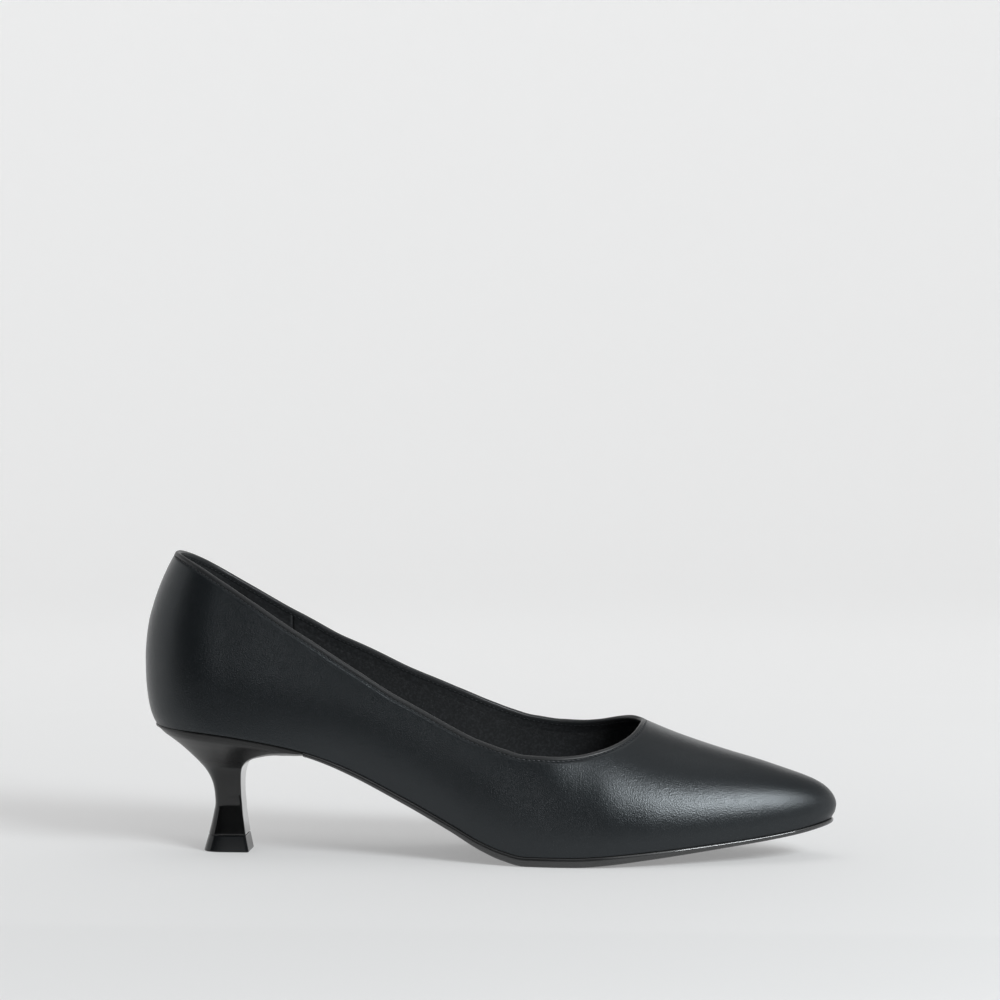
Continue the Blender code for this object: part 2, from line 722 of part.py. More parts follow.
def make_outsole(material):
    """The outsole, from the heel's breast to the toe."""
    start = SEAT_LENGTH + SEAM_GAP
    places = [mix(start, BALL_STOP, i / PLATE_RUN_FACES) for i in range(PLATE_RUN_FACES)]
    places += [mix(BALL_STOP, TOE_TURN, i / PLATE_BALL_FACES) for i in range(PLATE_BALL_FACES)]
    places += [mix(TOE_TURN, LENGTH, i / SOLE_TOE_FACES) for i in range(SOLE_TOE_FACES + 1)]

    def crown(point):
        return shank_crown(point.x)

    def from_top(drop):
        return lambda point: feather_height(point.x) - SEAM_GAP - drop

    def from_bottom(over):
        def level(point):
            under = feather_height(point.x) - SEAM_GAP - sole_thickness(point.x)
            return max(under, 0.0) + over
        return level

    top = plate_rows(outline(places, SOLE_EDGE_BEVEL), from_top(0.0), crown)
    rim = plate_rows(outline(places, -SOLE_LEDGE), from_top(SOLE_EDGE_BEVEL), crown)
    low = plate_rows(outline(places, -SOLE_LEDGE), from_bottom(SOLE_EDGE_BEVEL), crown)
    bottom = plate_rows(outline(places, SOLE_UNDERCUT), from_bottom(0.0), crown)
    return layered_solid("outsole", [top, rim, low, bottom], material)


def footprint(ring):
    """The back and front stations and half width of one heel ring."""
    seat_back = back_setback(HEEL_HEIGHT)
    back = mix(LIFT_STATION, seat_back, ring.back)
    front = mix(LIFT_STATION + LIFT_LENGTH, SEAT_LENGTH, ring.front)
    half = mix(LIFT_WIDTH / 2, SEAT_WIDTH / 2, ring.width)
    return back, front, half


def ring_plan(back, front, half, squareness):
    """The plan of a heel ring: a round back, straight sides and a flat front."""
    stations = []
    for i in range(STEM_TURN_FACES):
        angle = pi / 2 * i / STEM_TURN_FACES
        along = STEM_TURN * (1 - cos(angle) ** (2 / squareness))
        stations.append((along, half * sin(angle) ** (2 / squareness)))
    corner = 1 - EDGE_CHAMFER / (front - back)
    for i in range(STEM_SIDE_FACES + 1):
        stations.append((mix(STEM_TURN, corner, i / STEM_SIDE_FACES), half))
    stations.append((1.0, half - EDGE_CHAMFER))
    return [(mix(back, front, along), across) for along, across in stations]


def seat_plan(inset):
    """The seat's own outline, with as many stations as a heel ring."""
    front = SEAT_LENGTH
    places = [HEEL_TURN * i / STEM_TURN_FACES for i in range(STEM_TURN_FACES)]
    places += [mix(HEEL_TURN, front - EDGE_CHAMFER, i / STEM_SIDE_FACES) for i in range(STEM_SIDE_FACES + 1)]
    places.append(front)
    sides = outline(places + [front + EDGE_CHAMFER], inset)
    return {side: [(point.x, abs(point.y)) for point in line[:-1]] for side, line in sides.items()}


def ring_rows(plan, heights, sag):
    """Rows across a heel ring: heights gives the height at each station."""
    rows = []
    for i, ((x, lateral), (_, medial)) in enumerate(zip(plan[LATERAL], plan[MEDIAL])):
        height = heights(x)
        if i == 0:
            rows.append([Vector((x, 0.0, height))])
            continue
        row = []
        for j in range(ACROSS + 1):
            share = j / ACROSS
            hang = sag(x) * 4 * share * (1 - share)
            row.append(Vector((x, mix(-lateral, medial, share), height - hang)))
        rows.append(row)
    return rows


def make_heel(material):
    """The heel block: a wide seat that draws in to a slender, waisted stem."""
    def seat_height(drop):
        return lambda x: feather_height(x) - SEAM_GAP - drop

    seat = seat_plan(0.0)
    layers = [ring_rows(seat, seat_height(0.0), shank_crown)]
    lip = seat_plan(BREAST_LIP / 2)
    layers.append(ring_rows(lip, seat_height(BREAST_LIP), shank_crown))
    for ring in HEEL_RINGS:
        back, front, half = footprint(ring)
        plain = ring_plan(back, front, half, STEM_SQUARENESS)
        seat_weight = sqrt(max(ring.width, 0.0))
        plan = {}
        for side in (LATERAL, MEDIAL):
            plan[side] = []
            seat_x = [x for x, _ in seat[side]]
            for (x, across), (sx, sy) in zip(plain, seat[side]):
                along = (sx - seat_x[0]) / (seat_x[-1] - seat_x[0])
                seat_like = sy / (SEAT_WIDTH / 2) * half
                blend_x = mix(x, mix(back, front, along), seat_weight)
                plan[side].append((blend_x, mix(across, seat_like, seat_weight)))
        back_z = ring.back_height * HEEL_HEIGHT
        front_z = ring.front_height * feather_height(front)
        seat_bow = SEAT_BOW * seat_weight

        def heights(x, back=back, front=front, back_z=back_z, front_z=front_z, bow=seat_bow):
            share = (x - back) / (front - back)
            ends = mix(feather_height(back), feather_height(front), share)
            return mix(back_z, front_z, share) + bow * (feather_height(x) - ends)

        def sag(x, back=back, front=front, amount=ring.sag * SHANK_CROWN):
            return amount * ((x - back) / (front - back)) ** 2

        layers.append(ring_rows(plan, heights, sag))
    layers.append(flat_ring(STEM_FOOT, LIFT_HEIGHT + SEAM_GAP, 0.0))
    return layered_solid("heel", layers, material)


def flat_ring(ring, height, inset):
    """A level ring of the heel or the top lift."""
    back, front, half = footprint(ring)
    plan = ring_plan(back + inset, front - inset, half - inset, STEM_SQUARENESS)
    return ring_rows({LATERAL: plan, MEDIAL: plan}, lambda x: height, lambda x: 0.0)


def make_top_lift(material):
    """The top lift: a flared block that stands on the floor."""
    layers = [
        flat_ring(LIFT_TOP, LIFT_HEIGHT, 0.0),
        flat_ring(GROUND_RING, LIFT_BEVEL, 0.0),
        flat_ring(GROUND_RING, 0.0, LIFT_BEVEL),
    ]
    return layered_solid("top_lift", layers, material)


def main():
    for thing in list(bpy.data.objects):
        bpy.data.objects.remove(thing, do_unlink=True)
    make_upper(new_material("black smooth leather", LEATHER_COLOUR, LEATHER_ROUGHNESS))
    make_insole(new_material("black insole", INSOLE_COLOUR, INSOLE_ROUGHNESS))
    make_outsole(new_material("black outsole", SOLE_COLOUR, SOLE_ROUGHNESS))
    make_heel(new_material("black lacquer", LACQUER_COLOUR, LACQUER_ROUGHNESS))
    make_top_lift(new_material("black top lift", LIFT_COLOUR, LIFT_ROUGHNESS))


main()
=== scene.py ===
from collections import namedtuple
from math import asin, cos, hypot, pi, radians, sin, sqrt

import bmesh
import bpy
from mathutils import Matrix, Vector
from mathutils.kdtree import KDTree


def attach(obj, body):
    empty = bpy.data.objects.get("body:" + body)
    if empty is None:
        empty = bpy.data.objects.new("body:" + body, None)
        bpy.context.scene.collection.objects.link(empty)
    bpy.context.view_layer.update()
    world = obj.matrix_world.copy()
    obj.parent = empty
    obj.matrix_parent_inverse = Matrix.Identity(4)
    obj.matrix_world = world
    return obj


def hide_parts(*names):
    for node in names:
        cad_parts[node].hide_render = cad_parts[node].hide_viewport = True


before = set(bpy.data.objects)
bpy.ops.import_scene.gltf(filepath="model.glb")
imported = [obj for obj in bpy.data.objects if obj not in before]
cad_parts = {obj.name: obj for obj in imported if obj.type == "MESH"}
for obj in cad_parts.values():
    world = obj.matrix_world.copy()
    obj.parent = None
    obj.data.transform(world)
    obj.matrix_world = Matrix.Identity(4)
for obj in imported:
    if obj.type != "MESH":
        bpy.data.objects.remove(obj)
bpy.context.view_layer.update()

# The shoe's own sizes in metres. Stations run from the back of the counter.
LENGTH = 0.2619
HEEL_HEIGHT = 0.0494
BACK_HEIGHT = 0.0647
VAMP_HEIGHT = 0.0451
TOE_SPRING = 0.0111
SEAT_WIDTH = 0.0510
BALL_WIDTH = 0.0760
THROAT_ALONG = 0.7224
UPPER_WALL = 0.0018

# Outsole, heel and top lift
SOLE_THICKNESS = 0.0036
SOLE_LEDGE = 0.0003
SHANK_CROWN = 0.0028
SEAT_LENGTH = 0.0629
LIFT_STATION = 0.0221
LIFT_LENGTH = 0.0178
LIFT_WIDTH = 0.0145
LIFT_HEIGHT = 0.0063
EDGE_CHAMFER = 0.0007
LIFT_BEVEL = 0.0004

# Between the sole or the heel and the upper
SEAM_GAP = 0.0003

# Where the plan outline turns round the heel and where the toe begins
HEEL_TURN = 0.128 * LENGTH
TOE_TURN = 0.853 * LENGTH
THROAT_STATION = THROAT_ALONG * LENGTH
THROAT_FOOT = THROAT_STATION + 0.2 * (TOE_TURN - THROAT_STATION)
HEEL_ROUNDNESS = 2.1
TUCK_SHARPNESS = 6

# Where the tables' shares change from the seat's width to the ball's, and from
# the back's height to the vamp's
BALL_FROM = 0.35
VAMP_FROM = 0.41

# The heel's shape
STEM_SQUARENESS = 2.7
STEM_TURN = 0.55
SEAT_BOW = 0.8

# How the toe's sides carry on from the last section: the taper is taken over a
# short step, and the shoulder stays between two shares of the side's half width
TAPER_STEP = 0.002
SHOULDER_LEAST = 0.3
SHOULDER_MOST = 0.9

# How fine the visible surfaces are
HEEL_COLUMNS = 20
QUARTER_COLUMNS = 110
VAMP_COLUMNS = 22
TOE_COLUMNS = 26
TOPLINE_SAMPLES = 900
RIM_SAMPLES = 4000
HEIGHT_STEPS = 8
COLUMN_SAMPLES = 48
TINY = 1e-6

LATERAL = -1
MEDIAL = 1

BALL_LEVEL = SOLE_THICKNESS + SEAM_GAP
SEAT_RISE = HEEL_HEIGHT - BALL_LEVEL
LIFT_CENTRE = LIFT_STATION + LIFT_LENGTH / 2


def table(row, *lines):
    return [row(*line) for line in lines]


# The feather line, where the upper turns under the last: a rise is a share of
# the seat's height over the ball, and a spring a share of the toe spring
Feather = namedtuple("Feather", "along rise spring")
FEATHER_LINE = table(
    Feather,
    (0.000, 1.010, 0.00), (0.0145, 1.000, 0.00), (0.034, 0.986, 0.00),
    (0.059, 0.976, 0.00), (0.092, 0.962, 0.00), (0.128, 0.938, 0.00),
    (0.166, 0.904, 0.00), (0.200, 0.868, 0.00), (0.240, 0.815, 0.00),
    (0.277, 0.745, 0.00), (0.309, 0.668, 0.00), (0.380, 0.462, 0.00),
    (0.452, 0.242, 0.00), (0.495, 0.110, 0.00), (0.527, 0.040, 0.00),
    (0.560, 0.000, 0.00), (0.630, 0.000, 0.00), (0.666, 0.000, 0.05),
    (0.735, 0.000, 0.19), (0.805, 0.000, 0.35), (0.876, 0.000, 0.53),
    (0.947, 0.000, 0.77), (0.994, 0.000, 1.00),
)

# Sections of the last: half widths are shares of the section's named width, at
# the feather line and at the widest part of the wall. The cone is the height of
# the whole last over the feather line, as a share of the named height, and lean
# is how far its top lies to the medial side, as a share of the width
Section = namedtuple(
    "Section", "along sole_lateral sole_medial wall_lateral wall_medial cone lean fullness"
)
SECTIONS = table(
    Section,
    (0.128, 0.500, 0.500, 0.545, 0.545, 1.500, 0.00, 2.00),
    (0.178, 0.516, 0.504, 0.565, 0.555, 1.500, 0.02, 2.05),
    (0.235, 0.510, 0.476, 0.575, 0.545, 1.460, 0.04, 2.10),
    (0.311, 0.490, 0.424, 0.580, 0.525, 1.354, 0.06, 2.15),
    (0.388, 0.340, 0.267, 0.400, 0.347, 1.289, 0.05, 2.20),
    (0.449, 0.374, 0.293, 0.424, 0.363, 1.780, 0.05, 2.20),
    (0.495, 0.413, 0.346, 0.450, 0.395, 1.735, 0.05, 2.20),
    (0.525, 0.438, 0.382, 0.471, 0.425, 1.670, 0.05, 2.20),
    (0.567, 0.466, 0.426, 0.492, 0.458, 1.540, 0.05, 2.20),
    (0.609, 0.482, 0.458, 0.505, 0.484, 1.382, 0.05, 2.20),
    (0.662, 0.482, 0.474, 0.503, 0.495, 1.190, 0.05, 2.20),
    (0.722, 0.455, 0.455, 0.476, 0.476, 1.000, 0.05, 2.20),
    (0.769, 0.416, 0.413, 0.437, 0.434, 0.866, 0.035, 2.20),
    (0.815, 0.367, 0.362, 0.388, 0.383, 0.752, 0.015, 2.20),
    (0.853, 0.321, 0.313, 0.342, 0.334, 0.664, 0.00, 2.20),
)

# The counter's back profile: the height is a share of the back height over the
# seat, and the setback a share of it in from the backmost point
BackPoint = namedtuple("BackPoint", "height setback")
BACK_PROFILE = table(
    BackPoint,
    (-0.10, 0.105), (0.00, 0.059), (0.025, 0.046),
    (0.07, 0.029), (0.15, 0.013), (0.265, 0.002),
    (0.385, 0.000), (0.475, 0.005), (0.59, 0.020),
    (0.70, 0.049), (0.79, 0.080), (0.92, 0.138),
    (1.00, 0.182),
)

# The nose seen from the side: height is a share of the last's height where the
# toe begins, and reach a share of the toe's length ahead of that
NosePoint = namedtuple("NosePoint", "height reach")
NOSE_PROFILE = table(
    NosePoint,
    (-0.05, 0.900), (0.00, 0.922), (0.20, 0.958),
    (0.27, 0.987), (0.36, 1.000), (0.445, 0.982),
    (0.53, 0.938), (0.59, 0.888), (0.665, 0.792),
    (0.718, 0.695), (0.806, 0.497), (0.928, 0.203),
    (1.00, 0.000),
)

# The topline on each side, as shares of the named height over the feather line
Topline = namedtuple("Topline", "along rise")
LATERAL_TOPLINE = table(
    Topline,
    (0.046, 1.012), (0.059, 0.997), (0.088, 0.951),
    (0.120, 0.888), (0.165, 0.799), (0.237, 0.670),
    (0.310, 0.590), (0.382, 0.558), (0.453, 0.799),
    (0.524, 0.824), (0.566, 0.813), (0.608, 0.803),
    (0.636, 0.814), (0.664, 0.838), (0.691, 0.880),
    (0.711, 0.938), (THROAT_ALONG, 1.000),
)
MEDIAL_TOPLINE = table(
    Topline,
    (0.046, 1.012), (0.070, 0.963), (0.097, 0.906),
    (0.139, 0.826), (0.210, 0.713), (0.285, 0.646),
    (0.359, 0.650), (0.433, 0.977), (0.507, 1.018),
    (0.552, 1.006), (0.597, 0.971), (0.627, 0.967),
    (0.657, 0.975), (0.684, 1.001), (0.705, 1.017),
    (THROAT_ALONG, 1.000),
)

# The outsole's thickness and the crown across its underside, as shares
SoleBand = namedtuple("SoleBand", "along thickness crown")
SOLE_BANDS = table(
    SoleBand,
    (0.000, 0.42, 0.30), (0.100, 0.42, 0.60), (0.200, 0.42, 1.00),
    (0.230, 0.42, 1.00), (0.310, 0.60, 0.80), (0.450, 0.76, 0.35),
    (0.520, 0.96, 0.05), (0.545, 1.00, 0.00), (0.645, 1.00, 0.00),
    (0.735, 0.82, 0.00), (0.805, 0.66, 0.00), (0.876, 0.54, 0.00),
    (0.994, 0.50, 0.00),
)

# Rings of the heel block from the seat down to the top lift. The back and front
# heights are shares of the seat's height there. Back, front and width say how
# much wider than the top lift the ring is, as shares of what the seat is wider.
# The stem is a little slimmer here than in the solids
HeelRing = namedtuple("HeelRing", "back_height front_height back front width sag")
HEEL_RINGS = table(
    HeelRing,
    (0.962, 0.950, 0.923, 0.783, 0.973, 1.15),
    (0.931, 0.928, 0.836, 0.617, 0.918, 1.10),
    (0.891, 0.898, 0.689, 0.443, 0.808, 0.86),
    (0.836, 0.855, 0.497, 0.252, 0.633, 0.64),
    (0.763, 0.798, 0.279, 0.057, 0.414, 0.36),
    (0.688, 0.742, 0.082, -0.048, 0.227, 0.10),
    (0.634, 0.693, -0.038, -0.100, 0.103, 0.00),
    (0.579, 0.639, -0.126, -0.122, 0.021, 0.00),
    (0.516, 0.565, -0.191, -0.130, -0.034, 0.00),
    (0.445, 0.478, -0.224, -0.126, -0.052, 0.00),
    (0.374, 0.402, -0.235, -0.113, -0.052, 0.00),
    (0.298, 0.320, -0.202, -0.100, -0.046, 0.00),
    (0.223, 0.239, -0.158, -0.078, -0.037, 0.00),
)
STEM_FOOT = HeelRing(0, 0, -0.098, -0.052, -0.023, 0.0)
LIFT_TOP = HeelRing(0, 0, -0.094, -0.050, -0.022, 0.0)
GROUND_RING = HeelRing(0, 0, 0.0, 0.0, 0.0, 0.0)


def smooth_curve(stations, values):
    """A smooth curve through the values, with no overshoot between them."""
    steps = [b - a for a, b in zip(stations, stations[1:])]
    slopes = [(b - a) / h for a, b, h in zip(values, values[1:], steps)]
    tangents = [slopes[0]]
    for before, after, h_before, h_after in zip(slopes, slopes[1:], steps, steps[1:]):
        if before * after <= 0:
            tangents.append(0.0)
            continue
        near = 2 * h_after + h_before
        far = h_after + 2 * h_before
        tangents.append((near + far) / (near / before + far / after))
    tangents.append(slopes[-1])

    def value_at(station):
        if station <= stations[0]:
            return values[0] + tangents[0] * (station - stations[0])
        if station >= stations[-1]:
            return values[-1] + tangents[-1] * (station - stations[-1])
        cell = max(i for i, start in enumerate(stations) if start <= station)
        h = steps[cell]
        t = (station - stations[cell]) / h
        start_weight = (1 + 2 * t) * (1 - t) ** 2
        end_weight = t * t * (3 - 2 * t)
        start_pull = t * (1 - t) ** 2 * h
        end_pull = t * t * (t - 1) * h
        level = start_weight * values[cell] + end_weight * values[cell + 1]
        return level + start_pull * tangents[cell] + end_pull * tangents[cell + 1]

    return value_at


def curve_of(rows, value):
    """A smooth curve of one column of a table, over the length of the shoe."""
    return smooth_curve([row.along * LENGTH for row in rows], [value(row) for row in rows])


def mix(a, b, share):
    return a + (b - a) * share


def named_width(row):
    return SEAT_WIDTH if row.along < BALL_FROM else BALL_WIDTH


def named_height(row):
    return BACK_HEIGHT if row.along < VAMP_FROM else VAMP_HEIGHT


feather_height = curve_of(
    FEATHER_LINE, lambda row: BALL_LEVEL + row.rise * SEAT_RISE + row.spring * TOE_SPRING
)
sole_half = {
    LATERAL: curve_of(SECTIONS, lambda row: named_width(row) * row.sole_lateral),
    MEDIAL: curve_of(SECTIONS, lambda row: named_width(row) * row.sole_medial),
}
wall_half = {
    LATERAL: curve_of(SECTIONS, lambda row: named_width(row) * row.wall_lateral),
    MEDIAL: curve_of(SECTIONS, lambda row: named_width(row) * row.wall_medial),
}
cone_height = curve_of(SECTIONS, lambda row: named_height(row) * row.cone)
cone_lean = curve_of(SECTIONS, lambda row: named_width(row) * row.lean)
cone_fullness = curve_of(SECTIONS, lambda row: row.fullness)
topline_rise = {
    LATERAL: curve_of(LATERAL_TOPLINE, lambda row: named_height(row) * row.rise),
    MEDIAL: curve_of(MEDIAL_TOPLINE, lambda row: named_height(row) * row.rise),
}
sole_thickness = curve_of(SOLE_BANDS, lambda row: row.thickness * SOLE_THICKNESS)
shank_crown = curve_of(SOLE_BANDS, lambda row: row.crown * SHANK_CROWN)
back_setback = smooth_curve(
    [HEEL_HEIGHT + row.height * BACK_HEIGHT for row in BACK_PROFILE],
    [row.setback * BACK_HEIGHT for row in BACK_PROFILE],
)

TOE_BASE = feather_height(TOE_TURN)
TOE_TOP = TOE_BASE + cone_height(TOE_TURN)
nose_reach = smooth_curve(
    [mix(TOE_BASE, TOE_TOP, row.height) for row in NOSE_PROFILE],
    [row.reach * (LENGTH - TOE_TURN) for row in NOSE_PROFILE],
)


def half_width(side, along, height):
    """Half the last's width at a station and a height over the floor."""
    share = (height - feather_height(along)) / cone_height(along)
    share = min(max(share, 0.0), 1.0)
    power = cone_fullness(along)
    round_over = (1 - share**power) ** (1 / power)
    tuck = (wall_half[side](along) - sole_half[side](along)) * (1 - share) ** TUCK_SHARPNESS
    lean = side * cone_lean(along) * share**2
    return wall_half[side](along) * round_over - tuck + lean


def toe_outline(side, turn, height):
    """The plan of the toe at one height, from its side (turn 0) to its tip (1)."""
    reach = max(nose_reach(height), 0.0)
    side_half = half_width(side, TOE_TURN, height)
    taper = (side_half - half_width(side, TOE_TURN - TAPER_STEP, height)) / TAPER_STEP
    shoulder = max(side_half + taper * reach, SHOULDER_LEAST * side_half)
    shoulder = min(shoulder, SHOULDER_MOST * side_half)
    along = reach * (2 * turn * (1 - turn) + turn**2)
    across = side_half * (1 - turn) ** 2 + 2 * shoulder * turn * (1 - turn)
    return TOE_TURN + along, across


def heel_outline(side, turn, height):
    """The plan of the heel at one height, from its back (turn 0) to its side (1)."""
    angle = turn * pi / 2
    reach = HEEL_TURN - back_setback(height)
    along = HEEL_TURN - reach * abs(cos(angle)) ** (2 / HEEL_ROUNDNESS)
    across = half_width(side, HEEL_TURN, height) * sin(angle) ** (2 / HEEL_ROUNDNESS)
    return along, across


def last_point(side, place, height):
    """A point of the last's surface. The place runs from the back of the heel at
    0 to the tip of the toe at LENGTH, and is the station between the two turns."""
    if place < HEEL_TURN:
        along, across = heel_outline(side, place / HEEL_TURN, height)
    elif place > TOE_TURN:
        turn = min((place - TOE_TURN) / (LENGTH - TOE_TURN), 1.0)
        along, across = toe_outline(side, turn, height)
    else:
        along, across = place, half_width(side, place, height)
    return Vector((along, side * across, height))


def feather_level(side, place):
    """The height of the feather line at a place round the last."""
    if HEEL_TURN <= place <= TOE_TURN:
        return feather_height(place)
    guess = HEEL_HEIGHT if place < HEEL_TURN else TOE_BASE + TOE_SPRING / 2
    for _ in range(HEIGHT_STEPS):
        guess = feather_height(last_point(side, place, guess).x)
    return guess


def cone_top(place):
    """The height at which the last closes over the foot at a place."""
    if place < HEEL_TURN:
        return feather_height(HEEL_TURN) + cone_height(HEEL_TURN)
    if place > TOE_TURN:
        return TOE_TOP
    return feather_height(place) + cone_height(place)


def wall_point(side, place, lift):
    """A point of the wall: lift is 0 at the feather line and pi / 2 at the ridge."""
    base = feather_level(side, place)
    power = cone_fullness(min(max(place, HEEL_TURN), TOE_TURN))
    height = base + (cone_top(place) - base) * sin(lift) ** (2 / power)
    return last_point(side, place, height)


def topline_height(side, place):
    """The height of the topline at a place behind the throat."""
    height = HEEL_HEIGHT + BACK_HEIGHT
    for _ in range(HEIGHT_STEPS):
        along = last_point(side, place, height).x
        height = feather_height(along) + topline_rise[side](along)
    return min(height, cone_top(place))


def topline_lift(side, place):
    """The lift at which the wall meets the topline."""
    base = feather_level(side, place)
    share = (topline_height(side, place) - base) / (cone_top(place) - base)
    power = cone_fullness(min(max(place, HEEL_TURN), TOE_TURN))
    return asin(min(share, 1.0) ** (power / 2))


def even_places(side, start, end, count):
    """Places that divide the topline between two places into equal lengths."""
    fine = TOPLINE_SAMPLES
    samples = [mix(start, end, i / fine) for i in range(fine + 1)]
    points = [last_point(side, place, topline_height(side, place)) for place in samples]
    run = [0.0]
    for before, after in zip(points, points[1:]):
        run.append(run[-1] + (after - before).length)
    places = []
    for i in range(count + 1):
        target = run[-1] * i / count
        cell = max(j for j, length in enumerate(run) if length <= target + TINY * LENGTH)
        if cell == fine:
            places.append(end)
            continue
        part = (target - run[cell]) / (run[cell + 1] - run[cell])
        places.append(mix(samples[cell], samples[cell + 1], part))
    return places


def placed(point):
    """Moves a point from its station along the shoe to the shoe's own origin."""
    return Vector((point.x - LIFT_CENTRE, point.y, point.z))


MILLIMETRE = 0.001
EULER = 2.71828


class Field:
    """A number that varies over a surface, written like any other number."""

    def __init__(self, finish, socket):
        self.finish = finish
        self.socket = socket

    def __add__(self, other):
        return self.finish.maths("ADD", self, other)

    def __sub__(self, other):
        return self.finish.maths("SUBTRACT", self, other)

    def __mul__(self, other):
        return self.finish.maths("MULTIPLY", self, other)

    def __truediv__(self, other):
        return self.finish.maths("DIVIDE", self, other)

    def __pow__(self, other):
        return self.finish.maths("POWER", self, other)

    def __rpow__(self, other):
        return self.finish.maths("POWER", other, self)

    __radd__ = __add__
    __rmul__ = __mul__


class Finish:
    """One material, and the nodes that give its look."""

    def __init__(self, name):
        self.material = bpy.data.materials.new(name)
        self.material.use_nodes = True
        self.tree = self.material.node_tree
        self.shader = self.tree.nodes["Principled BSDF"]

    def node(self, kind, settings=(), inputs=(), output=0):
        made = self.tree.nodes.new(kind)
        for name, value in dict(settings).items():
            setattr(made, name, value)
        for name, value in dict(inputs).items():
            self.feed(made.inputs[name], value)
        return Field(self, made.outputs[output])

    def feed(self, socket, value):
        if isinstance(value, Field):
            self.tree.links.new(value.socket, socket)
        else:
            socket.default_value = value

    def maths(self, operation, a, b):
        return self.node("ShaderNodeMath", {"operation": operation}, {0: a, 1: b})

    def place(self):
        return self.node("ShaderNodeTexCoord", output="Object")

    def axis(self, name):
        return self.node("ShaderNodeSeparateXYZ", inputs={"Vector": self.place()}, output=name)

    def stretched(self, x, y, z):
        values = {"Vector": self.place(), "Scale": (x, y, z)}
        return self.node("ShaderNodeMapping", inputs=values)

    def noise(self, size, detail=3.0, where=None):
        where = where or self.place()
        settings = {"Vector": where, "Scale": 1 / size, "Detail": detail}
        return self.node("ShaderNodeTexNoise", inputs=settings)

    def cells(self, size):
        return self.node("ShaderNodeTexVoronoi", inputs={"Vector": self.place(), "Scale": 1 / size})

    def told(self, name):
        """A number that the mesh carries at each of its points."""
        return self.node("ShaderNodeAttribute", {"attribute_name": name}, output="Fac")

    def ramp(self, value, start, end):
        """0 below the start, 1 above the end, and smooth between them."""
        limits = {"Value": value, "From Min": start, "From Max": end}
        return self.node("ShaderNodeMapRange", {"interpolation_type": "SMOOTHSTEP"}, limits)

    def line(self, value, centre, width):
        """1 where the value is the centre, falling away over the width."""
        return EULER ** (((value - centre) / width) ** 2 * -1.0)

    def blend(self, share, first, second):
        colours = {0: share, 6: (*first, 1.0), 7: (*second, 1.0)}
        return self.node("ShaderNodeMix", {"data_type": "RGBA"}, colours, output=2)

    def drift(self, size, first, second):
        """A colour that wanders between two over patches of a size."""
        return self.blend(self.noise(size), first, second)

    def bumped(self, height):
        """Normals for a height in millimetres."""
        values = {"Strength": 1.0, "Distance": 1.0, "Height": height * MILLIMETRE}
        return self.node("ShaderNodeBump", inputs=values)

    def made(self, **inputs):
        for name, value in inputs.items():
            self.feed(self.shader.inputs[name.replace("_", " ").title()], value)
        return self.material


def leather_finish():
    """Smooth black leather with a fine closed grain."""
    finish = Finish("smooth black leather")
    grain = finish.cells(0.00048)
    pores = finish.noise(0.00026, 2.0)
    drawn = finish.noise(1.0, where=finish.stretched(900.0, 900.0, 220.0))
    swell = finish.noise(0.006, 2.0)
    trough = finish.line(finish.told("rim"), 1.5, 0.30)
    height = grain * 0.052 + pores * 0.030 + drawn * 0.014 + swell * 0.05 - trough * 0.06
    patch = finish.noise(0.022, 2.0)
    return finish.made(
        base_color=finish.blend(patch, (0.0044, 0.0056, 0.0067), (0.0060, 0.0074, 0.0086)),
        roughness=0.26 + 0.08 * finish.noise(0.0016, 2.0),
        specular_tint=(0.91, 0.965, 1.0, 1.0),
        normal=finish.bumped(height),
    )


def edge_finish():
    """The leather of the folded edge, duller where it is stretched over."""
    finish = Finish("black leather edge")
    grain = finish.noise(0.0004)
    return finish.made(
        base_color=finish.drift(0.003, (0.008, 0.009, 0.0098), (0.013, 0.0142, 0.0152)),
        roughness=0.32 + 0.12 * grain,
        normal=finish.bumped(grain * 0.03),
    )


# Where the lining's upright seam is, over the length from the heel's centre
LINING_SEAM = 0.0218


def lining_finish():
    """A napped black lining, with a facing along the topline and one upright seam."""
    finish = Finish("black lining")
    below_facing = finish.ramp(finish.told("rim"), 4.6, 5.4)
    nap = finish.noise(0.00035, 4.0)
    fleck = finish.ramp(finish.noise(0.0009, 4.0), 0.42, 0.68)
    seam = finish.line(finish.axis("X"), LINING_SEAM, 0.0005)
    height = nap * (0.05 + 0.08 * below_facing) - below_facing * 0.06 - seam * 0.35
    return finish.made(
        base_color=finish.blend(fleck, (0.0045, 0.0054, 0.0064), (0.014, 0.0154, 0.0172)),
        roughness=0.60 + 0.25 * below_facing,
        normal=finish.bumped(height),
    )


def sock_finish():
    finish = Finish("black sock lining")
    nap = finish.noise(0.0004, 4.0)
    weave = finish.cells(0.0008)
    return finish.made(
        base_color=finish.drift(0.01, (0.012, 0.012, 0.0125), (0.021, 0.021, 0.022)),
        roughness=0.55 + 0.2 * nap,
        normal=finish.bumped(nap * 0.04 + weave * 0.03),
    )


def sole_finish():
    finish = Finish("black sole")
    brushed = finish.noise(0.0006)
    return finish.made(
        base_color=finish.drift(0.012, (0.0060, 0.0062, 0.0066), (0.0095, 0.0098, 0.0102)),
        roughness=0.30 + 0.14 * brushed,
        coat_weight=1.0,
        coat_roughness=0.08,
        normal=finish.bumped(brushed * 0.006),
    )


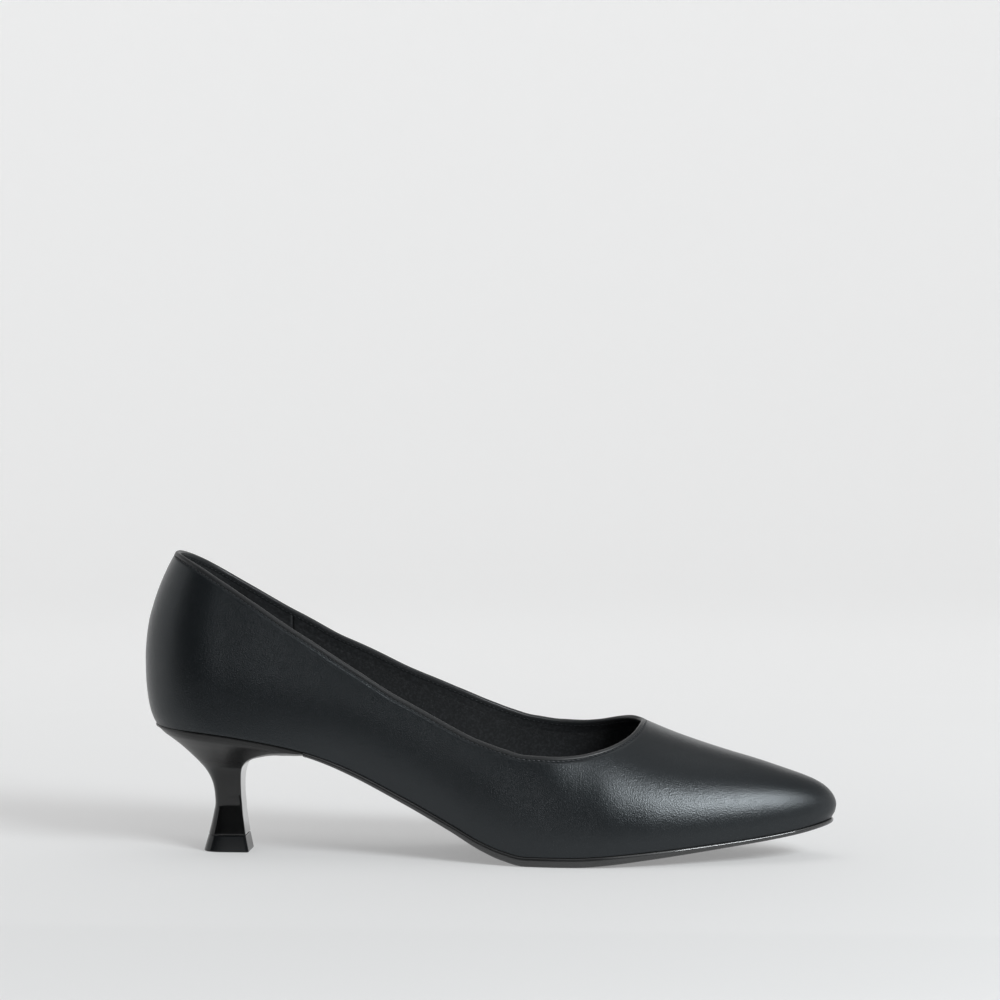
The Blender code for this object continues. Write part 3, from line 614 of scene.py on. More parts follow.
def lacquer_finish():
    """Black lacquer, mirror-like on the stem, softer on the flare over it."""
    finish = Finish("black lacquer")
    wave = finish.noise(0.004, 1.0)
    flare = finish.ramp(finish.axis("Z"), 0.026, 0.038)
    return finish.made(
        base_color=finish.blend(wave, (0.0028, 0.0029, 0.0030), (0.0040, 0.0041, 0.0042)),
        roughness=0.04 + 0.02 * wave + 0.26 * flare,
        coat_weight=finish.ramp(finish.told("front"), 0.5, 0.95),
        coat_roughness=0.03,
        normal=finish.bumped(wave * 0.006),
    )


def lift_finish():
    finish = Finish("black top lift")
    return finish.made(
        base_color=finish.drift(0.003, (0.0030, 0.0037, 0.0044), (0.0048, 0.0056, 0.0064)),
        roughness=0.12 + 0.08 * finish.noise(0.0008),
        normal=finish.bumped(finish.noise(0.0005) * 0.01),
    )


def thread_finish():
    finish = Finish("black thread")
    twist = finish.noise(0.0002, 2.0)
    return finish.made(
        base_color=finish.blend(twist, (0.020, 0.022, 0.024), (0.045, 0.049, 0.053)),
        roughness=0.30 + 0.1 * twist,
        normal=finish.bumped(twist * 0.02),
    )


SHARP_FROM = radians(40.0)


def smooth_thing(name, mesh, material):
    mesh.materials.append(material)
    mesh.shade_smooth()
    return linked(name, mesh)


def linked(name, data):
    thing = bpy.data.objects.new(name, data)
    bpy.context.scene.collection.objects.link(thing)
    return thing


def piece(name, bm, material, slot, *stands_for):
    """Turns a bmesh into a piece that moves with the shoe."""
    bmesh.ops.recalc_face_normals(bm, faces=bm.faces[:])
    mesh = bpy.data.meshes.new(name)
    bm.to_mesh(mesh)
    bm.free()
    thing = smooth_thing(name, mesh, material)
    mesh.set_sharp_from_angle(angle=SHARP_FROM)
    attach(thing, "root")
    if stands_for:
        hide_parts(*stands_for)
    return thing


# The wall rows nearest the topline, by their distance from it in metres
TOP_ROWS = [
    0.0, 0.0006, 0.0011, 0.00135, 0.0016, 0.00185, 0.0021, 0.0025, 0.0033, 0.0045, 0.0062,
    0.0080, 0.0100,
]
EVEN_ROWS = 36

# The most of a column that those rows may take up
TOP_ROWS_MOST = 0.6


def row_shares(length, topline_weight):
    """How far down a column each row lies, as shares of the column's length."""
    count = len(TOP_ROWS) + EVEN_ROWS
    reach = min(TOP_ROWS[-1], TOP_ROWS_MOST * length)
    near = [row / TOP_ROWS[-1] * reach for row in TOP_ROWS]
    far = [reach + (length - reach) * i / EVEN_ROWS for i in range(1, EVEN_ROWS + 1)]
    by_rim = [distance / length for distance in near + far]
    even = [i / (count - 1) for i in range(count)]
    return [mix(a, b, topline_weight) for a, b in zip(even, by_rim)]


# Over 1, the vamp's columns lie closer together at the throat
THROAT_CROWDING = 1.6


def upper_columns(side):
    """Each column of the wall: its place at the feather line and at the top,
    whether it ends at the topline, and how closely its rows follow the topline."""
    columns = [(HEEL_TURN * i / HEEL_COLUMNS,) * 2 + (True, 1.0) for i in range(HEEL_COLUMNS)]
    tops = even_places(side, HEEL_TURN, THROAT_STATION, QUARTER_COLUMNS)
    for i, top in enumerate(tops[:-1]):
        columns.append((mix(HEEL_TURN, THROAT_FOOT, i / QUARTER_COLUMNS), top, True, 1.0))
    for i in range(VAMP_COLUMNS):
        share = (i / VAMP_COLUMNS) ** THROAT_CROWDING
        foot = mix(THROAT_FOOT, TOE_TURN, share)
        columns.append((foot, mix(THROAT_STATION, TOE_TURN, share), False, max(0.0, 1 - 2 * share)))
    for i in range(TOE_COLUMNS + 1):
        place = mix(TOE_TURN, LENGTH, i / TOE_COLUMNS)
        columns.append((place, place, False, 0.0))
    return columns


def column_line(side, foot, top, open_top, topline_weight):
    """The points of one column, from the top down to the feather line."""
    lift_end = topline_lift(side, top) if open_top else pi / 2

    def at(down):
        return wall_point(side, mix(top, foot, down), lift_end * (1 - down))

    samples = [at(i / COLUMN_SAMPLES) for i in range(COLUMN_SAMPLES + 1)]
    run = [0.0]
    for before, after in zip(samples, samples[1:]):
        run.append(run[-1] + (after - before).length)
    points = []
    cell = 0
    for share in row_shares(run[-1], topline_weight):
        target = min(share, 1.0) * run[-1]
        while cell < COLUMN_SAMPLES - 1 and run[cell + 1] < target:
            cell += 1
        part = (target - run[cell]) / (run[cell + 1] - run[cell])
        points.append(placed(at((cell + part) / COLUMN_SAMPLES)))
    return points


def wall_grid():
    """Points of the wall for both sides, as grids of columns from the top down."""
    points = {}
    for side in (LATERAL, MEDIAL):
        points[side] = [column_line(side, *column) for column in upper_columns(side)]
    return points


def wall_mesh(points):
    """The wall as a mesh of vertices shared at the back, the ridge and the toe."""
    bm = bmesh.new()
    bm.verts.layers.float.new("rim")
    grids = {}
    ends = {}
    open_columns = HEEL_COLUMNS + QUARTER_COLUMNS
    last = open_columns + VAMP_COLUMNS + TOE_COLUMNS
    for side in (LATERAL, MEDIAL):
        grid = []
        for i, line in enumerate(points[side]):
            if side == MEDIAL and i in (0, last):
                grid.append(grids[LATERAL][i])
                continue
            end = (side, i)
            if i >= open_columns:
                end = min(i, last - TOE_COLUMNS)
            if end not in ends:
                ends[end] = bm.verts.new(line[0])
            grid.append([ends[end]] + [bm.verts.new(point) for point in line[1:]])
        grids[side] = grid
    for side, grid in grids.items():
        for column, following in zip(grid, grid[1:]):
            for row in range(len(column) - 1):
                ring = []
                for vert in (column[row], following[row], following[row + 1], column[row + 1]):
                    if vert not in ring:
                        ring.append(vert)
                if len(ring) > 2:
                    bm.faces.new(ring if side == LATERAL else ring[::-1])
    bmesh.ops.recalc_face_normals(bm, faces=bm.faces[:])
    bm.normal_update()
    probe = grids[LATERAL][open_columns // 2][EVEN_ROWS]
    if probe.normal.y > 0:
        bmesh.ops.reverse_faces(bm, faces=bm.faces[:])
        bm.normal_update()
    return bm, grids


def round_rim(grids, row, count):
    """The vertices round one rim, out along the lateral side and back."""
    out = [column[row] for column in grids[LATERAL][:count]]
    back = [column[row] for column in grids[MEDIAL][:count]]
    return out + back[-2:0:-1]


class Rim:
    """The topline as a closed line, with the directions outward and downward."""

    def __init__(self, grids):
        verts = round_rim(grids, 0, HEEL_COLUMNS + QUARTER_COLUMNS + 1)
        self.points = [vert.co.copy() for vert in verts]
        self.outward = [vert.normal.copy() for vert in verts]
        count = len(verts)
        self.down = []
        for i in range(count):
            tangent = self.points[(i + 1) % count] - self.points[i - 1]
            self.down.append(tangent.cross(self.outward[i]).normalized())
        self.run = [0.0]
        for i in range(count):
            step = self.points[(i + 1) % count] - self.points[i]
            self.run.append(self.run[-1] + step.length)
        self.length = self.run[-1]

    def at(self, distance):
        """The point, outward and downward directions at a distance round the rim."""
        distance %= self.length
        cell = max(i for i, run in enumerate(self.run[:-1]) if run <= distance)
        following = (cell + 1) % len(self.points)
        part = (distance - self.run[cell]) / (self.run[cell + 1] - self.run[cell])
        point = self.points[cell].lerp(self.points[following], part)
        outward = self.outward[cell].lerp(self.outward[following], part).normalized()
        down = self.down[cell].lerp(self.down[following], part).normalized()
        return point, outward, down

    def tree(self):
        """Finds how far any point lies from the rim."""
        tree = KDTree(RIM_SAMPLES)
        for i in range(RIM_SAMPLES):
            tree.insert(self.at(self.length * i / RIM_SAMPLES)[0], i)
        tree.balance()
        return tree


# Soft creases of the leather, from a station and height to another, in metres
# over the floor. Depth is below the surface, and a ridge has a depth under zero
Crease = namedtuple("Crease", "side start end width depth")
CREASES = table(
    Crease,
    (LATERAL, (0.118, 0.036), (0.132, 0.020), 0.0040, 0.00012),
    (LATERAL, (0.128, 0.034), (0.144, 0.014), 0.0045, -0.00010),
    (LATERAL, (0.150, 0.026), (0.163, 0.012), 0.0036, 0.00010),
    (LATERAL, (0.030, 0.071), (0.094, 0.050), 0.0075, -0.00045),
    (LATERAL, (0.052, 0.082), (0.092, 0.058), 0.0050, -0.00012),
    (LATERAL, (0.066, 0.046), (0.092, 0.034), 0.0050, -0.00010),
    (MEDIAL, (0.112, 0.038), (0.130, 0.022), 0.0042, 0.00014),
    (MEDIAL, (0.126, 0.034), (0.140, 0.016), 0.0040, -0.00010),
    (MEDIAL, (0.070, 0.056), (0.100, 0.044), 0.0060, 0.00012),
)


def crease_depth(side, along, height):
    depth = 0.0
    for crease in CREASES:
        if crease.side != side:
            continue
        (x0, z0), (x1, z1) = crease.start, crease.end
        dx, dz = x1 - x0, z1 - z0
        share = ((along - x0) * dx + (height - z0) * dz) / (dx * dx + dz * dz)
        over = max(0.0, share - 1, -share) * hypot(dx, dz)
        across = ((along - x0) * dz - (height - z0) * dx) / hypot(dx, dz)
        reach = (across**2 + over**2 / 4) / (2 * crease.width**2)
        depth += crease.depth * EULER**-reach
    return depth


# Distances from the topline are written up to this many millimetres
FAR_FROM_RIM = 40.0


def add_rim_distance(bm, tree):
    """Writes each point's distance from the topline, in millimetres."""
    layer = bm.verts.layers.float["rim"]
    for vert in bm.verts:
        vert[layer] = min(tree.find(vert.co)[2] / MILLIMETRE, FAR_FROM_RIM)


# How the leather sinks under the folded edge, by distance from the rim in mm
EDGE_TUCK = 0.00036
EDGE_TUCK_START = 1.30
EDGE_TUCK_END = 2.15

# How the leather turns under at its foot: how far inward, and how far up
FOOT_TURN = [(0.00008, -0.00016), (0.0006, -0.00026), (0.0020, -0.00022)]
FOOT_LIFT = 0.0001


def make_upper(points, material):
    bm, grids = wall_mesh(points)
    rim = Rim(grids)
    tree = rim.tree()
    add_rim_distance(bm, tree)
    layer = bm.verts.layers.float["rim"]
    for vert in bm.verts:
        side = LATERAL if vert.co.y < 0 else MEDIAL
        depth = crease_depth(side, vert.co.x + LIFT_CENTRE, vert.co.z)
        tucked = (EDGE_TUCK_END - vert[layer]) / (EDGE_TUCK_END - EDGE_TUCK_START)
        tucked = min(max(tucked, 0.0), 1.0)
        depth += EDGE_TUCK * tucked * tucked * (3 - 2 * tucked)
        vert.co -= vert.normal * depth
    foot = round_rim(grids, len(TOP_ROWS) + EVEN_ROWS - 1, len(grids[LATERAL]))
    loops = [foot]
    outs = [Vector((vert.normal.x, vert.normal.y, 0.0)).normalized() for vert in foot]
    for inward, rise in FOOT_TURN:
        loop = []
        for vert, level in zip(foot, outs):
            loop.append(bm.verts.new(vert.co - level * inward + Vector((0, 0, rise))))
        loops.append(loop)
    for vert in foot:
        vert.co.z += FOOT_LIFT
    for loop, following in zip(loops, loops[1:]):
        join_loops(bm, loop, following)
    upper = piece("upper_leather", bm, material, "upper_leather", "upper")
    return upper, rim, tree


def join_loops(bm, loop, other):
    """A band of faces between two loops of as many vertices."""
    count = len(loop)
    for i in range(count):
        j = (i + 1) % count
        bm.faces.new([loop[i], loop[j], other[j], other[i]])


# The folded edge's section: down from the rim, and inward from the outside, in mm
EDGE_SECTION = [
    (1.22, 0.42), (1.12, 0.12), (1.02, -0.03), (0.84, -0.10), (0.45, -0.12), (0.10, -0.06),
    (-0.18, 0.08), (-0.42, 0.38), (-0.52, 0.80), (-0.46, 1.25), (-0.22, 1.62), (0.15, 1.86),
    (0.60, 1.96), (1.20, 1.98), (1.75, 1.95), (2.00, 1.85), (2.10, 1.60), (1.60, 0.90),
]


def make_edge(rim, material):
    """The upper's edge, folded over the topline and down inside it."""
    bm = bmesh.new()
    loops = []
    for down, inward in EDGE_SECTION:
        loop = []
        for point, outward, downward in zip(rim.points, rim.outward, rim.down):
            place = point + downward * down * MILLIMETRE - outward * inward * MILLIMETRE
            loop.append(bm.verts.new(place))
        loops.append(loop)
    for loop, following in zip(loops, loops[1:] + loops[:1]):
        join_loops(bm, loop, following)
    return piece("topline_edge", bm, material, "upper_leather")


# A stitch's sizes, how deep its ends sink and how thin they are as a share of the
# radius, and where the rows lie below and behind the topline
STITCH_PITCH = 0.0018
STITCH_LENGTH = 0.00135
STITCH_RADIUS = 0.00020
STITCH_SINK = 1.2 * STITCH_RADIUS
STITCH_END = 0.45
STITCH_STEPS = 6
STITCH_DOWN = 0.00142
OUTSIDE_STITCH = 0.00010
LINING_STAND = 0.00008


def make_stitches(rim, name, inward, material):
    """A row of stitches round the topline, whose ends sink into the leather."""
    bm = bmesh.new()
    count = round(rim.length / STITCH_PITCH)
    pitch = rim.length / count
    sinking = 1 if inward < UPPER_WALL / 2 else -1
    for number in range(count):
        rings = []
        for i in range(STITCH_STEPS + 1):
            share = i / STITCH_STEPS
            centre = (number + 0.5) * pitch + (share - 0.5) * STITCH_LENGTH
            point, outward, downward = rim.at(centre)
            bow = sqrt(1 - (2 * share - 1) ** 2)
            sink = sinking * STITCH_SINK * (1 - bow)
            middle = point + downward * STITCH_DOWN - outward * (inward + sink)
            radius = STITCH_RADIUS * mix(STITCH_END, 1.0, bow)
            ring = []
            for j in range(STITCH_STEPS):
                angle = 2 * pi * j / STITCH_STEPS
                spoke = outward * sin(angle) + downward * cos(angle)
                ring.append(bm.verts.new(middle + spoke * radius))
            rings.append(ring)
        for ring, following in zip(rings, rings[1:]):
            join_loops(bm, ring, following)
        bm.faces.new(rings[0][::-1])
        bm.faces.new(rings[-1])
    piece(name, bm, material, "upper_leather")


def make_lining(points, tree, material):
    """The lining: the wall's inside, down to the insole."""
    bm, _ = wall_mesh(points)
    add_rim_distance(bm, tree)
    for vert in bm.verts:
        vert.co -= vert.normal * (UPPER_WALL + LINING_STAND)
    piece("lining", bm, material, "upper_leather")


def outline(places, inset):
    """The feather line's plan at the places, drawn in by the inset: for each
    place its lateral and its medial point, at the feather line's height."""
    sides = {}
    for side in (LATERAL, MEDIAL):
        line = [last_point(side, place, feather_level(side, place)) for place in places]
        drawn = []
        for i, point in enumerate(line):
            before = line[max(i - 1, 0)]
            after = line[min(i + 1, len(line) - 1)]
            if i == 0 and places[0] == 0.0:
                before = Vector((after.x, -after.y, after.z))
            if i == len(line) - 1:
                after = Vector((before.x, -before.y, before.z))
            run = Vector((after.x - before.x, after.y - before.y))
            inward = Vector((side * run.y, -side * run.x, 0.0)) / hypot(run.x, run.y)
            drawn.append(point + inward * inset)
        sides[side] = drawn
    return sides


# How many faces lie side by side across the sock, the sole, the heel and the lift
ACROSS = 24


def plate_rows(sides, level, crown):
    """Rows of points across a plate. Level gives the height of its edge and
    crown how far its middle hangs below that, each from the feather point."""
    rows = []
    for lateral, medial in zip(sides[LATERAL], sides[MEDIAL]):
        if abs(lateral.y - medial.y) < TINY:
            rows.append([Vector((lateral.x, 0.0, level(lateral)))])
            continue
        row = []
        for i in range(ACROSS + 1):
            share = i / ACROSS
            point = lateral.lerp(medial, share)
            height = mix(level(lateral), level(medial), share)
            hang = crown(point) * 4 * share * (1 - share)
            row.append(Vector((point.x, point.y, height - hang)))
        rows.append(row)
    return rows


def layered_mesh(layers):
    """A closed mesh from layers of rows, whose first and last layers are capped.
    Each point carries how squarely it faces the front."""
    bm = bmesh.new()
    facing = bm.verts.layers.float.new("front")
    grids = []
    for number, rows in enumerate(layers):
        capped = number in (0, len(layers) - 1)
        grid = []
        for r, row in enumerate(rows):
            verts = []
            for c, point in enumerate(row):
                wanted = capped or r in (0, len(rows) - 1) or c in (0, len(row) - 1)
                verts.append(bm.verts.new(placed(point)) if wanted else None)
            grid.append(verts)
        grids.append(grid)
    for grid in (grids[0], grids[-1]):
        for row, following in zip(grid, grid[1:]):
            for i in range(ACROSS):
                if len(row) == 1:
                    bm.faces.new([row[0], following[i], following[i + 1]])
                elif len(following) == 1:
                    bm.faces.new([row[i], following[0], row[i + 1]])
                else:
                    bm.faces.new([row[i], following[i], following[i + 1], row[i + 1]])
    loops = [border(grid) for grid in grids]
    for loop, following in zip(loops, loops[1:]):
        join_loops(bm, loop, following)
    bmesh.ops.recalc_face_normals(bm, faces=bm.faces[:])
    bm.normal_update()
    for vert in bm.verts:
        vert[facing] = vert.normal.x
    return bm


def border(grid):
    """The vertices round a grid of rows: lateral, front, medial, back."""
    loop = [row[0] for row in grid[:-1]]
    loop += grid[-1]
    loop += [row[-1] for row in reversed(grid[:-1]) if len(row) > 1]
    if len(grid[0]) > 1:
        loop += grid[0][-2:0:-1]
    return loop


def crown_at(point):
    return shank_crown(point.x)


# The sock lining's edge: inset from its rim, and height over the feather line
SOCK_EDGE = [(0.0012, 0.00260), (0.0005, 0.00245), (0.0001, 0.0020), (0.0, 0.0)]
SOCK_GAP = 0.0001


def make_sock(material):
    """The sock lining on the insole, with a softly rounded edge."""
    places = [HEEL_TURN * i / 14 for i in range(14)]
    places += [mix(HEEL_TURN, TOE_TURN, i / 60) for i in range(60)]
    places += [mix(TOE_TURN, LENGTH, i / 18) for i in range(19)]
    layers = []
    for inset, over in SOCK_EDGE:
        sides = outline(places, UPPER_WALL + SOCK_GAP + inset)
        layers.append(plate_rows(sides, lambda point: feather_height(point.x) + over, crown_at))
    piece("sock_lining", layered_mesh(layers), material, "insole_sock", "insole")


# The outsole's edge: inset from its rim in mm, and a share of the way from top to
# bottom. The stand is how far the rim lies outside the solid's
SOLE_EDGE = [
    (1.40, 0.00), (0.60, 0.01), (0.36, 0.04), (0.18, 0.10), (0.05, 0.20), (0.00, 0.32),
    (0.00, 0.55), (0.05, 0.70), (0.16, 0.82), (0.38, 0.92), (0.70, 0.98), (1.50, 1.00),
]
EDGE_STAND = 0.00025


def make_outsole(material):
    start = SEAT_LENGTH + SEAM_GAP
    places = [mix(start, TOE_TURN, i / 80) for i in range(80)]
    places += [mix(TOE_TURN, LENGTH, i / 26) for i in range(27)]

    def level(share):
        def height(point):
            top = feather_height(point.x) - SEAM_GAP
            return mix(top, max(top - sole_thickness(point.x), 0.0), share)
        return height

    layers = []
    for inset, share in SOLE_EDGE:
        sides = outline(places, inset * MILLIMETRE - SOLE_LEDGE - EDGE_STAND)
        layers.append(plate_rows(sides, level(share), crown_at))
    piece("sole", layered_mesh(layers), material, "outsole", "outsole")


STEM_TURN_FACES = 22
STEM_SIDE_FACES = 12
RING_STEPS = 5

# The rounded front corner of a ring: how far behind the front, and in from the
# side, as shares of the chamfer
CORNER = [(0.62, 0.08), (0.30, 0.30), (0.08, 0.62), (0.0, 1.0)]


def footprint(ring):
    """The back and front stations and half width of one heel ring."""
    seat_back = back_setback(HEEL_HEIGHT)
    back = mix(LIFT_STATION, seat_back, ring.back)
    front = mix(LIFT_STATION + LIFT_LENGTH, SEAT_LENGTH, ring.front)
    half = mix(LIFT_WIDTH / 2, SEAT_WIDTH / 2, ring.width)
    return back, front, half


def ring_plan(back, front, half):
    """The plan of a heel ring: a round back, straight sides and a flat front."""
    stations = []
    for i in range(STEM_TURN_FACES):
        angle = pi / 2 * i / STEM_TURN_FACES
        along = STEM_TURN * (1 - cos(angle) ** (2 / STEM_SQUARENESS))
        stations.append((along, half * sin(angle) ** (2 / STEM_SQUARENESS)))
    nip = EDGE_CHAMFER / (front - back)
    for i in range(STEM_SIDE_FACES + 1):
        stations.append((mix(STEM_TURN, 1 - nip, i / STEM_SIDE_FACES), half))
    for behind, inset in CORNER:
        stations.append((1 - behind * nip, half - inset * EDGE_CHAMFER))
    return [(mix(back, front, along), across) for along, across in stations]


def seat_plan(inset):
    """The seat's own outline, with as many stations as a heel ring."""
    places = [HEEL_TURN * i / STEM_TURN_FACES for i in range(STEM_TURN_FACES)]
    corner = SEAT_LENGTH - EDGE_CHAMFER
    places += [mix(HEEL_TURN, corner, i / STEM_SIDE_FACES) for i in range(STEM_SIDE_FACES + 1)]
    places += [mix(corner, SEAT_LENGTH, 1 - behind) for behind, _ in CORNER]
    sides = outline(places + [SEAT_LENGTH + EDGE_CHAMFER], inset)
    return {side: [(point.x, abs(point.y)) for point in line[:-1]] for side, line in sides.items()}


def ring_rows(plan, heights, sag):
    """Rows across a heel ring: heights gives the height at each station."""
    rows = []
    for i, ((x, lateral), (_, medial)) in enumerate(zip(plan[LATERAL], plan[MEDIAL])):
        if i == 0:
            rows.append([Vector((x, 0.0, heights(x)))])
            continue
        row = []
        for j in range(ACROSS + 1):
            share = j / ACROSS
            hang = sag(x) * 4 * share * (1 - share)
            row.append(Vector((x, mix(-lateral, medial, share), heights(x) - hang)))
        rows.append(row)
    return rows


def between_rings(position):
    """A heel ring at a position between the rows of the table."""
    columns = zip(*HEEL_RINGS)
    rows = range(len(HEEL_RINGS))
    return HeelRing(*[smooth_curve(list(rows), list(column))(position) for column in columns])


# The heel's edge under the upper: inset from its rim, and drop below the seam,
# and the stem's foot: height over the top lift, and inset
SEAT_EDGE = [(0.0006, 0.0), (0.0001, 0.00008), (0.0, 0.0004), (0.0001, 0.0008)]
STEM_FOOT_SHARES = (0.25, 0.50, 0.75, 0.90, 0.95)
STEM_FOOT_EDGE = [(0.00012, 0.00002), (0.00004, 0.00006), (0.0, 0.00014)]


def make_heel(material):
    """The heel block: a wide seat that draws in to a slender, waisted stem."""
    seat = seat_plan(0.0)
    layers = []
    for inset, drop in SEAT_EDGE:
        plan = seat_plan(inset)
        drop += SEAM_GAP
        layers.append(ring_rows(plan, lambda x: feather_height(x) - drop, shank_crown))
    steps = (len(HEEL_RINGS) - 1) * RING_STEPS
    for step in range(steps + 1):
        ring = between_rings(step / RING_STEPS)
        back, front, half = footprint(ring)
        seat_weight = sqrt(max(ring.width, 0.0))
        plan = {}
        for side in (LATERAL, MEDIAL):
            plan[side] = []
            seat_back, seat_front = seat[side][0][0], seat[side][-1][0]
            for (x, across), (sx, sy) in zip(ring_plan(back, front, half), seat[side]):
                along = (sx - seat_back) / (seat_front - seat_back)
                seat_like = sy / (SEAT_WIDTH / 2) * half
                blend_x = mix(x, mix(back, front, along), seat_weight)
                plan[side].append((blend_x, mix(across, seat_like, seat_weight)))
        back_z = ring.back_height * HEEL_HEIGHT
        front_z = ring.front_height * feather_height(front)
        bow = SEAT_BOW * seat_weight

        def heights(x):
            share = (x - back) / (front - back)
            ends = mix(feather_height(back), feather_height(front), share)
            return mix(back_z, front_z, share) + bow * (feather_height(x) - ends)

        def sag(x):
            return ring.sag * SHANK_CROWN * ((x - back) / (front - back)) ** 2

        layers.append(ring_rows(plan, heights, sag))
    foot = LIFT_HEIGHT + SEAM_GAP
    last_ring = HEEL_RINGS[-1]
    top = last_ring.back_height * HEEL_HEIGHT
    for share in STEM_FOOT_SHARES:
        ring = ring_between(last_ring, STEM_FOOT, share)
        layers.append(flat_ring(ring, mix(top, foot, share), 0.0))
    for rise, inset in STEM_FOOT_EDGE:
        layers.append(flat_ring(STEM_FOOT, foot + rise, inset))
    piece("heel_block", layered_mesh(layers), material, "heel_lacquer", "heel")


def ring_between(first, second, share):
    return HeelRing(*[mix(a, b, share) for a, b in zip(first, second)])


def flat_ring(ring, height, inset):
    """A level ring of the heel or the top lift."""
    back, front, half = footprint(ring)
    plan = ring_plan(back + inset, front - inset, half - inset)
    return ring_rows({LATERAL: plan, MEDIAL: plan}, lambda x: height, lambda x: 0.0)


# The top lift's edge: drop below its top and inset, then shares of the way down
LIFT_EDGE = [(0.0, 0.00016), (0.00005, 0.00005)]
LIFT_SHARES = (0.02, 0.06, 0.12, 0.30, 0.50, 0.70, 0.88, 0.94, 0.98)


def make_top_lift(material):
    """The top lift: a flared block that stands on the floor."""
    layers = [flat_ring(LIFT_TOP, LIFT_HEIGHT - drop, inset) for drop, inset in LIFT_EDGE]
    for share in LIFT_SHARES:
        ring = ring_between(LIFT_TOP, GROUND_RING, share)
        layers.append(flat_ring(ring, mix(LIFT_HEIGHT, LIFT_BEVEL, share), 0.0))
    for share in (0.0, 0.4, 0.8, 1.0):
        drop = LIFT_BEVEL * sqrt(1 - (1 - share) ** 2)
        layers.append(flat_ring(GROUND_RING, LIFT_BEVEL - drop, share * LIFT_BEVEL))
    piece("lift", layered_mesh(layers), material, "top_lift", "top_lift")


# The camera stands in front of the sight station, turned a little toward the toe
CAMERA_TURN = radians(4.0)
CAMERA_DISTANCE = 1.2
CAMERA_HEIGHT = 0.182
CAMERA_DIP = radians(2.299)
CAMERA_LENS = 114.48
SENSOR_WIDTH = 36.0
NEAREST_SEEN = 0.05
SIGHT_STATION = 0.104


def set_camera():
    ahead = Vector((-sin(CAMERA_TURN), cos(CAMERA_TURN), 0.0))
    view = bpy.data.cameras.new("view")
    view.lens = CAMERA_LENS
    view.sensor_width = SENSOR_WIDTH
    view.clip_start = NEAREST_SEEN
    camera = linked("view", view)
    camera.location = Vector((SIGHT_STATION, 0.0, CAMERA_HEIGHT)) - ahead * CAMERA_DISTANCE
    camera.rotation_euler = (pi / 2 - CAMERA_DIP, 0.0, CAMERA_TURN)
    bpy.context.scene.camera = camera


def staged(name, verts, faces, material):
    mesh = bpy.data.meshes.new(name)
    mesh.from_pydata(verts, [], faces)
    thing = smooth_thing(name, mesh, material)
    return thing


# The point on the floor where the painted shade round the shoe is deepest, out from the toe's
# lateral side; the paper's colour and glow are painted brighter away from it
PAINTED_SHADE_CENTRE = (0.23, -0.25, 0.0)


def paper_finish():
    """Pale paper with painted light: a painted glow that lifts the shoe's shadow, and colour and
    glow painted a little brighter away from the shoe.
    """
    finish = Finish("pale paper with painted glow and shade")
    ends = {0: finish.place(), 1: PAINTED_SHADE_CENTRE}
    offset = finish.node("ShaderNodeVectorMath", {"operation": "DISTANCE"}, ends, "Value")
    # painted shade: the paper's colour is painted darker near the shoe and paler away from it
    away = finish.ramp(offset, -0.1, 1.4)
    # painted glow: the paper glows to lift the shoe's shadow, a little more away from the shoe
    painted_glow = 0.6 * finish.ramp(offset, 0.10, 0.60) + 0.4 * away
    return finish.made(
        base_color=finish.blend(away, grey(0.43), grey(0.755)),
        emission_color=finish.blend(painted_glow, grey(0.25), grey(0.33)),
        emission_strength=1.0,
        roughness=0.9,
    )


def grey(level):
    return (level, level, level)


FLOOR_RADIUS = 1.7
CURVE_RADIUS = 0.9
WALL_TOP = 1.3
CURVE_STEPS = 12
FLOOR_SPOKES = 64


def make_studio():
    """A pale floor that curves up all round into a wall."""
    section = [(0.0, 0.0), (0.6, 0.0), (1.2, 0.0), (FLOOR_RADIUS, 0.0)]
    for i in range(1, CURVE_STEPS + 1):
        angle = pi / 2 * i / CURVE_STEPS
        out, up = CURVE_RADIUS * sin(angle), CURVE_RADIUS * (1 - cos(angle))
        section.append((FLOOR_RADIUS + out, up))
    section.append((FLOOR_RADIUS + CURVE_RADIUS, WALL_TOP))
    around = FLOOR_SPOKES
    verts = []
    for radius, height in section:
        for j in range(around):
            angle = 2 * pi * j / around
            verts.append((SIGHT_STATION + radius * cos(angle), radius * sin(angle), height))
    faces = []
    for i in range(len(section) - 1):
        for j in range(around):
            k = (j + 1) % around
            low, high = i * around, (i + 1) * around
            faces.append((low + j, low + k, high + k, high + j))
    staged("studio_floor", verts, faces, paper_finish())


# The dark room starts on the floor in front of the shoe and ends in a bent wall
ROOM_EDGE = -0.168
ROOM_LEVEL = 0.0004
ROOM_TOP = 1.6
ROOM_REACH = 1.5
ROOM_SPREAD = radians(68)
ROOM_STEPS = 16


def make_dark_room():
    """The unlit room in front of the table, which only the shoe's gloss shows."""
    verts = []
    for i in range(ROOM_STEPS + 1):
        angle = mix(-ROOM_SPREAD, ROOM_SPREAD, i / ROOM_STEPS)
        x = SIGHT_STATION + ROOM_REACH * sin(angle)
        y = min(-ROOM_REACH * cos(angle), ROOM_EDGE)
        verts += [(x, ROOM_EDGE, ROOM_LEVEL), (x, y, ROOM_LEVEL), (x, y, ROOM_TOP)]
    faces = []
    for i in range(ROOM_STEPS):
        a, b = 3 * i, 3 * (i + 1)
        faces += [(a, b, b + 1, a + 1), (a + 1, b + 1, b + 2, a + 2)]
    cloth = Finish("black cloth").made(base_color=(*grey(0.004), 1.0), roughness=0.9)
    room = staged("dark_room", verts, faces, cloth)
    room.visible_camera = False
    room.visible_shadow = False
    room.visible_diffuse = False


LIT_STATION = 0.18
AIR_STRENGTH = 0.36


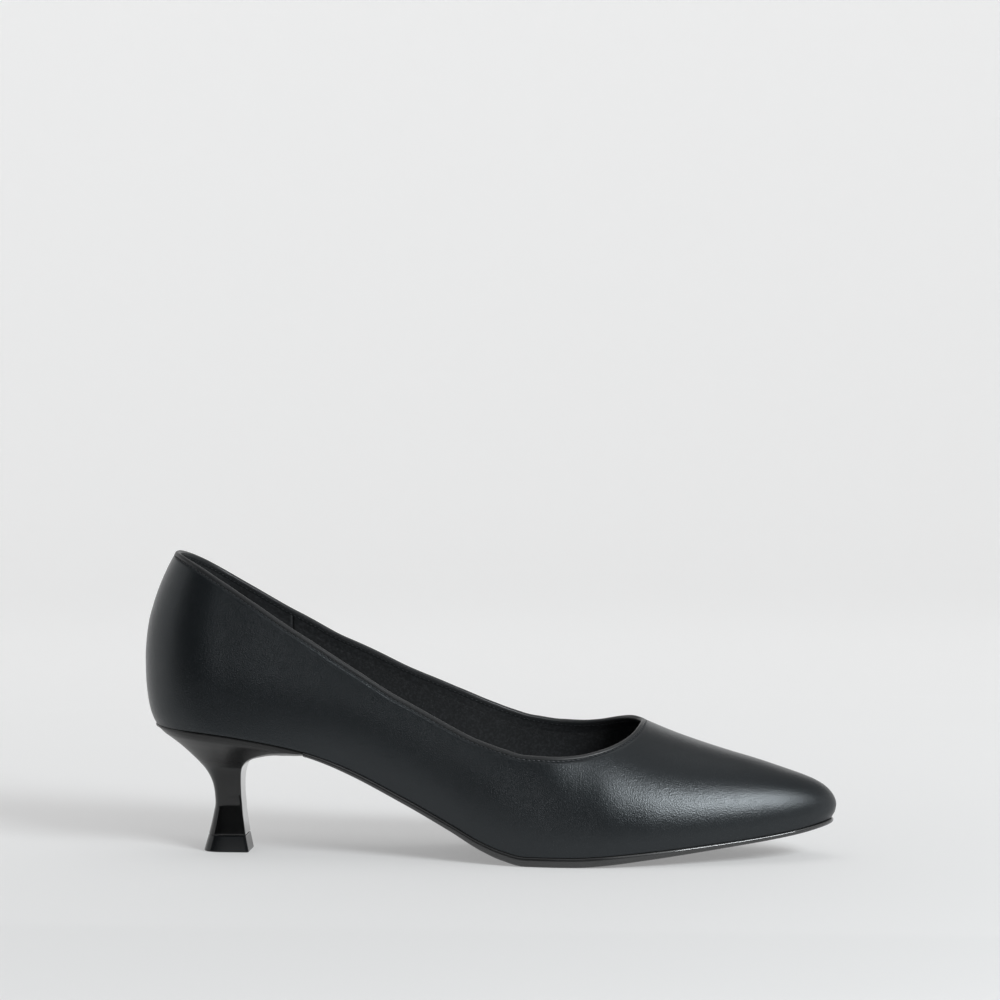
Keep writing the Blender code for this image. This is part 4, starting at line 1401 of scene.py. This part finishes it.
def lamp_place(turn, rise, distance):
    """Where a lamp stands: turned from the camera's side to the toe, and raised."""
    turn, rise = radians(turn), radians(rise)
    level = distance * cos(rise)
    return (LIT_STATION + level * sin(turn), -level * cos(turn), distance * sin(rise))


def add_light(name, location, aim, width, depth, power):
    lamp = bpy.data.lights.new(name, "AREA")
    lamp.shape = "RECTANGLE"
    lamp.size = width
    lamp.size_y = depth
    lamp.energy = power
    thing = linked(name, lamp)
    thing.location = location
    thing.rotation_euler = (Vector(location) - Vector(aim)).to_track_quat("Z", "Y").to_euler()
    return thing


def set_light(leathers):
    """The air's even light and four lamps, of which the fill lights only the leathers."""
    world = bpy.data.worlds.new("studio air")
    world.use_nodes = True
    sky = world.node_tree.nodes["Background"]
    sky.inputs["Color"].default_value = (1.0, 1.0, 1.0, 1.0)
    sky.inputs["Strength"].default_value = AIR_STRENGTH
    bpy.context.scene.world = world
    bpy.context.scene.view_settings.view_transform = "Standard"
    add_light("overhead", (0.10, 0.10, 1.3), (0.10, 0.0, 0.05), 0.9, 0.9, 2.0)
    key = add_light("key", lamp_place(41, 31, 1.25), (0.18, -0.03, 0.03), 0.52, 0.32, 14.4)
    key.data.color = (0.94, 0.98, 1.0)
    add_light("front", lamp_place(13, 46, 1.25), (0.12, -0.03, 0.03), 0.40, 0.26, 0.45)
    fill = add_light("fill", lamp_place(-15.5, 11, 1.3), (0.03, -0.03, 0.06), 0.30, 0.12, 0.60)
    lit = bpy.data.collections.new("leathers")
    for thing in leathers:
        lit.objects.link(thing)
    fill.light_linking.receiver_collection = lit


def main():
    set_camera()
    make_studio()
    make_dark_room()
    thread = thread_finish()
    points = wall_grid()
    upper, rim, tree = make_upper(points, leather_finish())
    edge = make_edge(rim, edge_finish())
    make_lining(points, tree, lining_finish())
    make_stitches(rim, "topline_stitches", OUTSIDE_STITCH, thread)
    make_stitches(rim, "inside_stitches", UPPER_WALL + LINING_STAND, thread)
    make_sock(sock_finish())
    make_outsole(sole_finish())
    make_heel(lacquer_finish())
    make_top_lift(lift_finish())
    set_light([upper, edge])


main()
